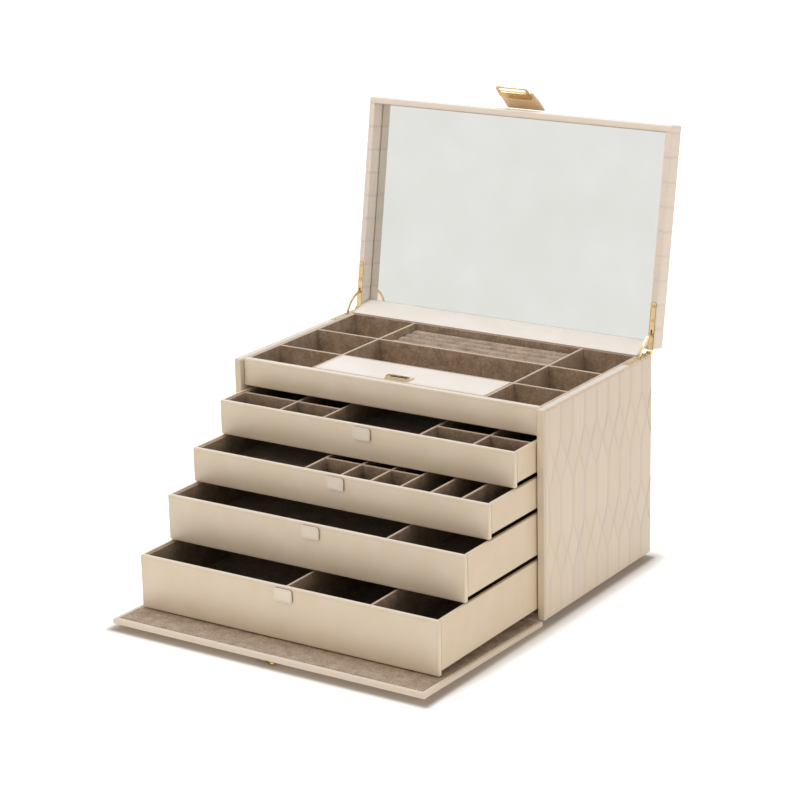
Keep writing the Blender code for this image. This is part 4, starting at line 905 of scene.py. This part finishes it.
low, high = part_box("ring_roll_pad")
roll_radius = 5.6 * mm
roll_pitch = 12.66 * mm
first_roll = 30.93 * mm
bed = bmesh.new()
bmesh.ops.create_cube(bed, size=1.0, matrix=Matrix.Translation(
    ((low.x + high.x) / 2, (low.y + high.y) / 2, (low.z + 194.8 * mm) / 2)) @ Matrix.Diagonal(
    (high.x - low.x - 0.4 * mm, high.y - low.y - 0.4 * mm, 194.8 * mm - low.z, 1)))
bmesh.ops.bevel(bed, geom=bed.edges[:], offset=1.2 * mm, segments=3, affect="EDGES")
bed_mesh = bpy.data.meshes.new("roll_bed")
bed.to_mesh(bed_mesh)
bed.free()
rolls = add_piece("padded_ring_rolls", grown(
    "padded_ring_rolls", ring_roll_tree(), bed_mesh, Length=high.x - low.x - 0.6 * mm, Radius=roll_radius,
    Pitch=roll_pitch, Count=5, Place=((low.x + high.x) / 2, first_roll, high.z - roll_radius - 0.2 * mm),
    Uneven=0.55 * mm, Finish=napped_suede), napped_suede, "case", "suede", "ring_roll_pad")
print("ring rolls have", len(rolls.data.polygons), "faces")

# %% [markdown]
# ## Travel case
#
# A small hard case in the tray's front cell, in a paler smooth hide. Its lid has a tab with a brass loop that frames a
# slot for a fingernail, and the hide round the slot is painted near-black as a painted shadow. Four planes cut the tab
# along the shadow's edges, so that whole faces can be marked.

# %% Travel case pieces
dress("travel_case_box", "wrapped_travel_box", 0.5 * mm, finish=pale_leather)
dress("travel_case_lid", "wrapped_travel_lid", 0.7 * mm, finish=pale_leather)
# Painted shadow: the faces under the loop's opening are near-black.
slot_shadow_leather = two_faced_leather("calf tab with a painted shadow in its slot", "EFE3CF", "F4EADB", "1E1611", "2C211A")
tab = dress("travel_case_tab", "travel_lid_tab", 0.3 * mm, finish=slot_shadow_leather)
loop_low, loop_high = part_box("travel_case_loop")
shadow_near, shadow_far = loop_high.y - 4.6 * mm, loop_high.y - 0.9 * mm
shadow_middle, shadow_half = (loop_low.x + loop_high.x) / 2, 10.2 * mm
bm = bmesh.new()
bm.from_mesh(tab.data)
for place, facing in (((0, shadow_near, 0), y_axis), ((0, shadow_far, 0), y_axis),
                      ((shadow_middle - shadow_half, 0, 0), x_axis), ((shadow_middle + shadow_half, 0, 0), x_axis)):
    bmesh.ops.bisect_plane(bm, geom=bm.verts[:] + bm.edges[:] + bm.faces[:], plane_co=place, plane_no=facing)
bm.to_mesh(tab.data)
bm.free()
second_colour_where(tab.data, lambda face: shadow_near < face.center.y < shadow_far
           and abs(face.center.x - shadow_middle) < shadow_half)
dress("travel_case_loop", "travel_lid_loop", 0.2 * mm)
low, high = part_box("travel_case_lid")
stitches("travel_lid_thread", [(rounded_rectangle(
    ((low.x + high.x) / 2, (low.y + high.y) / 2, high.z), x_axis, y_axis,
    high.x - low.x - 5 * mm, high.y - low.y - 5 * mm, 1.5 * mm), True)], body_of["travel_case_lid"])

# %% [markdown]
# ## Mirror, gusset and hinge strip
#
# The mirror is let into the lid behind the rim. A strip of soft hide closes the gap between the tray and
# the mirror: it is fixed to both, so it bends when the lid moves. It is one sheet, wrapped over a short
# curve with a little slack, and it is given its thickness by Solidify. The flap hangs on a narrower strip
# of suede that works the same way.

# %% Soft strips
dress("lid_mirror", "silvered_mirror", 0.5 * mm)


def strip_mesh(name, path, half_width, thickness, slack, columns=60, rounds=3):
    """A sheet that follows a path of (y, z) points, with a little slack between its fixed edges."""
    bm = bmesh.new()
    rows = []
    for share, (y, z) in enumerate(path):
        along = share / (len(path) - 1)
        row = []
        for column in range(columns + 1):
            x = (2 * column / columns - 1) * half_width
            ease = math.sin(math.pi * along)
            wave = 1 + 0.25 * math.sin(x * 95) + 0.15 * math.sin(x * 211 + 1.0)
            row.append(bm.verts.new((x, y, z - slack * ease * wave)))
        rows.append(row)
    for first, second in zip(rows, rows[1:]):
        for column in range(columns):
            bm.faces.new((first[column], first[column + 1], second[column + 1], second[column]))
    bmesh.ops.recalc_face_normals(bm, faces=bm.faces[:])
    mesh = bpy.data.meshes.new(name)
    bm.to_mesh(mesh)
    bm.free()
    host = bpy.data.objects.new(name, mesh)
    bpy.context.scene.collection.objects.link(host)
    for face in mesh.polygons:
        face.use_smooth = True
    wall = host.modifiers.new("thickness", "SOLIDIFY")
    wall.thickness = thickness
    wall.offset = 0
    return plain_mesh(host)


def smooth_path(points, steps=6):
    """More points along a path of (y, z) corners, rounded by a Catmull-Rom spline."""
    ends = [points[0]] + list(points) + [points[-1]]
    dense = []
    for a, b, c, d in zip(ends, ends[1:], ends[2:], ends[3:]):
        for step in range(steps):
            t = step / steps
            dense.append(tuple(0.5 * (2 * q + (r - p) * t + (2 * p - 5 * q + 4 * r - s) * t * t
                                      + (3 * q - p - 3 * r + s) * t ** 3)
                               for p, q, r, s in zip(a, b, c, d)))
    return dense + [tuple(points[-1])]


def soft_strip(name, path, half_width, thickness, slack, finish, cad_node, bodies, start, end):
    """A sheet between two bodies: it bends with their joint."""
    strip = bpy.data.objects.new(name, strip_mesh(name, path, half_width, thickness, slack))
    bpy.context.scene.collection.objects.link(strip)
    strip.data.materials.append(finish)
    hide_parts(cad_node)
    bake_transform(strip, *bodies, start, end)
    return strip


gusset_path = smooth_path([(88.9 * mm, 207.65 * mm), (98.6 * mm, 210.4 * mm), (108.9 * mm, 212.95 * mm),
                           (120.8 * mm, 213.6 * mm)])
soft_strip("soft_lid_gusset", gusset_path, 163.1 * mm, 0.8 * mm, 0.35 * mm, pale_leather,
           "lid_gusset", ("case", "lid"),
           (0, 90 * mm, 207.7 * mm), (0, 120 * mm, 213.6 * mm))

# %% [markdown]
# ## Hinges
#
# Each side has a brass hinge let into the leather: two leaves, a pin, and a curved stay that slides down
# into the case as the lid closes. The leaves are held by small slotted screws. The far end of the lid leaf's
# slot is filed by a seventh of a millimetre, so that the stay clears it when the lid is shut.

# %% Slotted screws
def screw_tree():
    tree, size = new_tree("slotted screws", Radius="Float", Height="Float", Turn="Vector", Seed="Int",
                          Finish="Material")
    head = node(tree, "GeometryNodeMeshCylinder", {
        "Vertices": 24, "Side Segments": 1, "Fill Segments": 1, "Radius": size["Radius"], "Depth": size["Height"]})
    up = node(tree, "ShaderNodeSeparateXYZ", {0: node(tree, "GeometryNodeInputPosition").outputs[0]}).outputs[2]
    crown = node(tree, "GeometryNodeSetPosition", {
        0: head.outputs[0], "Selection": maths(tree, "GREATER_THAN", up, 0.0),
        "Position": node(tree, "ShaderNodeVectorMath", {
            0: node(tree, "GeometryNodeInputPosition").outputs[0], 1: (0.84, 0.84, 1.0)},
            operation="MULTIPLY").outputs[0]})
    cutter = node(tree, "GeometryNodeMeshCube", {"Size": vector(
        tree, maths(tree, "MULTIPLY", size["Radius"], 3.0), maths(tree, "MULTIPLY", size["Radius"], 0.3),
        size["Height"])})
    raised = node(tree, "GeometryNodeTransform", {
        0: cutter.outputs[0], "Translation": vector(tree, 0.0, 0.0, maths(tree, "MULTIPLY", size["Height"], 0.6))})
    slotted = node(tree, "GeometryNodeMeshBoolean", {
        "Mesh 1": crown.outputs[0], "Mesh 2": raised.outputs[0]}, operation="DIFFERENCE")
    driven = node(tree, "FunctionNodeRandomValue", {2: 0.0, 3: 3.1, "Seed": size["Seed"]}, data_type="FLOAT")
    spin = node(tree, "FunctionNodeRotateRotation", {
        0: node(tree, "FunctionNodeEulerToRotation", {0: size["Turn"]}).outputs[0],
        1: node(tree, "FunctionNodeEulerToRotation", {0: vector(tree, 0.0, 0.0, driven.outputs[1])}).outputs[0]},
        rotation_space="LOCAL")
    placed = node(tree, "GeometryNodeInstanceOnPoints", {
        "Points": size["Geometry"], "Instance": slotted.outputs[0], "Rotation": spin.outputs[0]})
    close_tree(tree, placed.outputs[0], size["Finish"])
    return tree


slotted_screws = screw_tree()


def screws(name, cad_nodes, turn, seed):
    """Screw heads on the middles of CAD screws, driven home to a random angle."""
    spots = seam_mesh(name + "_spots", [])
    spots.from_pydata([sum(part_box(cad_node), Vector()) / 2 for cad_node in cad_nodes], [], [])
    mesh = grown(name, slotted_screws, spots, Radius=1.35 * mm, Height=0.55 * mm, Turn=turn, Seed=seed, Finish=brass)
    for face in mesh.polygons:
        face.use_smooth = False
    return add_piece(name, mesh, brass, body_of[cad_nodes[0]], slot_of[cad_nodes[0]], *cad_nodes)


# %% Brass pieces
for seed, side in enumerate(("left", "right")):
    dress("hinge_case_leaf_" + side, "brass_case_leaf_" + side, 0.2 * mm, 2)
    leaf = dress("hinge_lid_leaf_" + side, "brass_lid_leaf_" + side, 0.2 * mm, 2)
    for corner in leaf.data.vertices:
        x, along, out = lid_place.inverted() @ corner.co
        if 20.9 * mm < -along < 21.4 * mm and abs(abs(x) - 167.5 * mm) < 1.2 * mm:
            corner.co += lid_turn.to_3x3() @ Vector((0, -0.15 * mm, 0))
    dress("hinge_pin_" + side, "brass_pin_" + side, 0.2 * mm, 2)
    dress("hinge_stay_" + side, "brass_stay_" + side, 0.25 * mm, 2)
    for place, turn in (("case", (0, 0, 0)), ("lid", (lid_open + math.pi, 0, 0))):
        pair = [f"hinge_{place}_screw_{side}_{number}" for number in (1, 2)]
        screws(f"{place}_leaf_screws_{side}", pair, turn, 5 * seed + 2)
print("hinge brass dressed")

# %% [markdown]
# ## Clasp and knob
#
# The clasp is a leather strap that bends over the lid's edge, with a slotted brass plate at its tip. The
# knob on the flap turns to lock the plate.

# %% Clasp and knob pieces
dress("clasp_anchor", "clasp_anchor_patch", 0.35 * mm)
strap = dress("clasp_strap", "clasp_leather_strap", 0.3 * mm, finish=strap_leather)
# Faces turned towards the front take the tan: the flesh side, with painted shade.
second_colour_where(strap.data, lambda face: face.normal.y < -0.2)
dress("clasp_plate", "clasp_brass_plate", 0.25 * mm, 2)
dress("knob_base", "knob_brass_base", 0.2 * mm, 2)
dress("turn_knob", "turning_brass_knob", 0.4 * mm, 3)
print("clasp and knob dressed")

# %% [markdown]
# ## Front flap
#
# The flap lies open on the table. It is a wrapped board like the panels, with the pressed hide on what is
# its outside when it is shut, and a suede lining within a narrow border.

# %% Flap pieces
low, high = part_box("flap_board")
tilt = math.radians(1.44)
flap_turn = turned(-tilt, 0, 0)
flap_hinge = Vector((0, -103.5 * mm, 6 * mm))
in_flap = [flap_turn.transposed() @ (corner.co - flap_hinge) for corner in nodes["flap_board"].data.vertices]
flap_near, flap_tip = max(p.y for p in in_flap), min(p.y for p in in_flap)
flap_outer, flap_inner = min(p.z for p in in_flap), max(p.z for p in in_flap)
flap_middle, flap_length = (flap_near + flap_tip) / 2, flap_near - flap_tip
pressed_board(
    "flap_board", "pressed_flap_board", 1.2 * mm,
    flap_hinge + flap_turn @ Vector((0, flap_middle, flap_outer)), turned(math.pi - tilt, 0, 0),
    high.x - low.x - 2 * margin, flap_length - 2 * margin, 17, sunk=0.0)
print("the flap board is", [round(v / mm, 2) for v in (flap_length, flap_inner - flap_outer)], "mm long and thick")
dress("flap_lining", "flap_suede_lining", 0.4 * mm)
strip_path = smooth_path([(-112.2 * mm, 6.88 * mm), (-107.5 * mm, 6.75 * mm), (-103.0 * mm, 6.65 * mm),
                          (-101.9 * mm, 7.1 * mm), (-101.72 * mm, 8.4 * mm), (-101.7 * mm, 10.2 * mm)])
soft_strip("soft_flap_hinge_strip", strip_path, 155.9 * mm, 0.5 * mm, 0, napped_suede,
           "flap_hinge_strip", ("case", "flap"),
           (0, -101.9 * mm, 7.1 * mm), (0, -107.5 * mm, 6.75 * mm))
stitches("flap_thread", [(rounded_rectangle(
    flap_hinge + flap_turn @ Vector((0, flap_middle, flap_inner)), x_axis, flap_turn @ y_axis,
    high.x - low.x - 4.4 * mm, flap_length - 4.4 * mm, 1.5 * mm), True)], "flap")
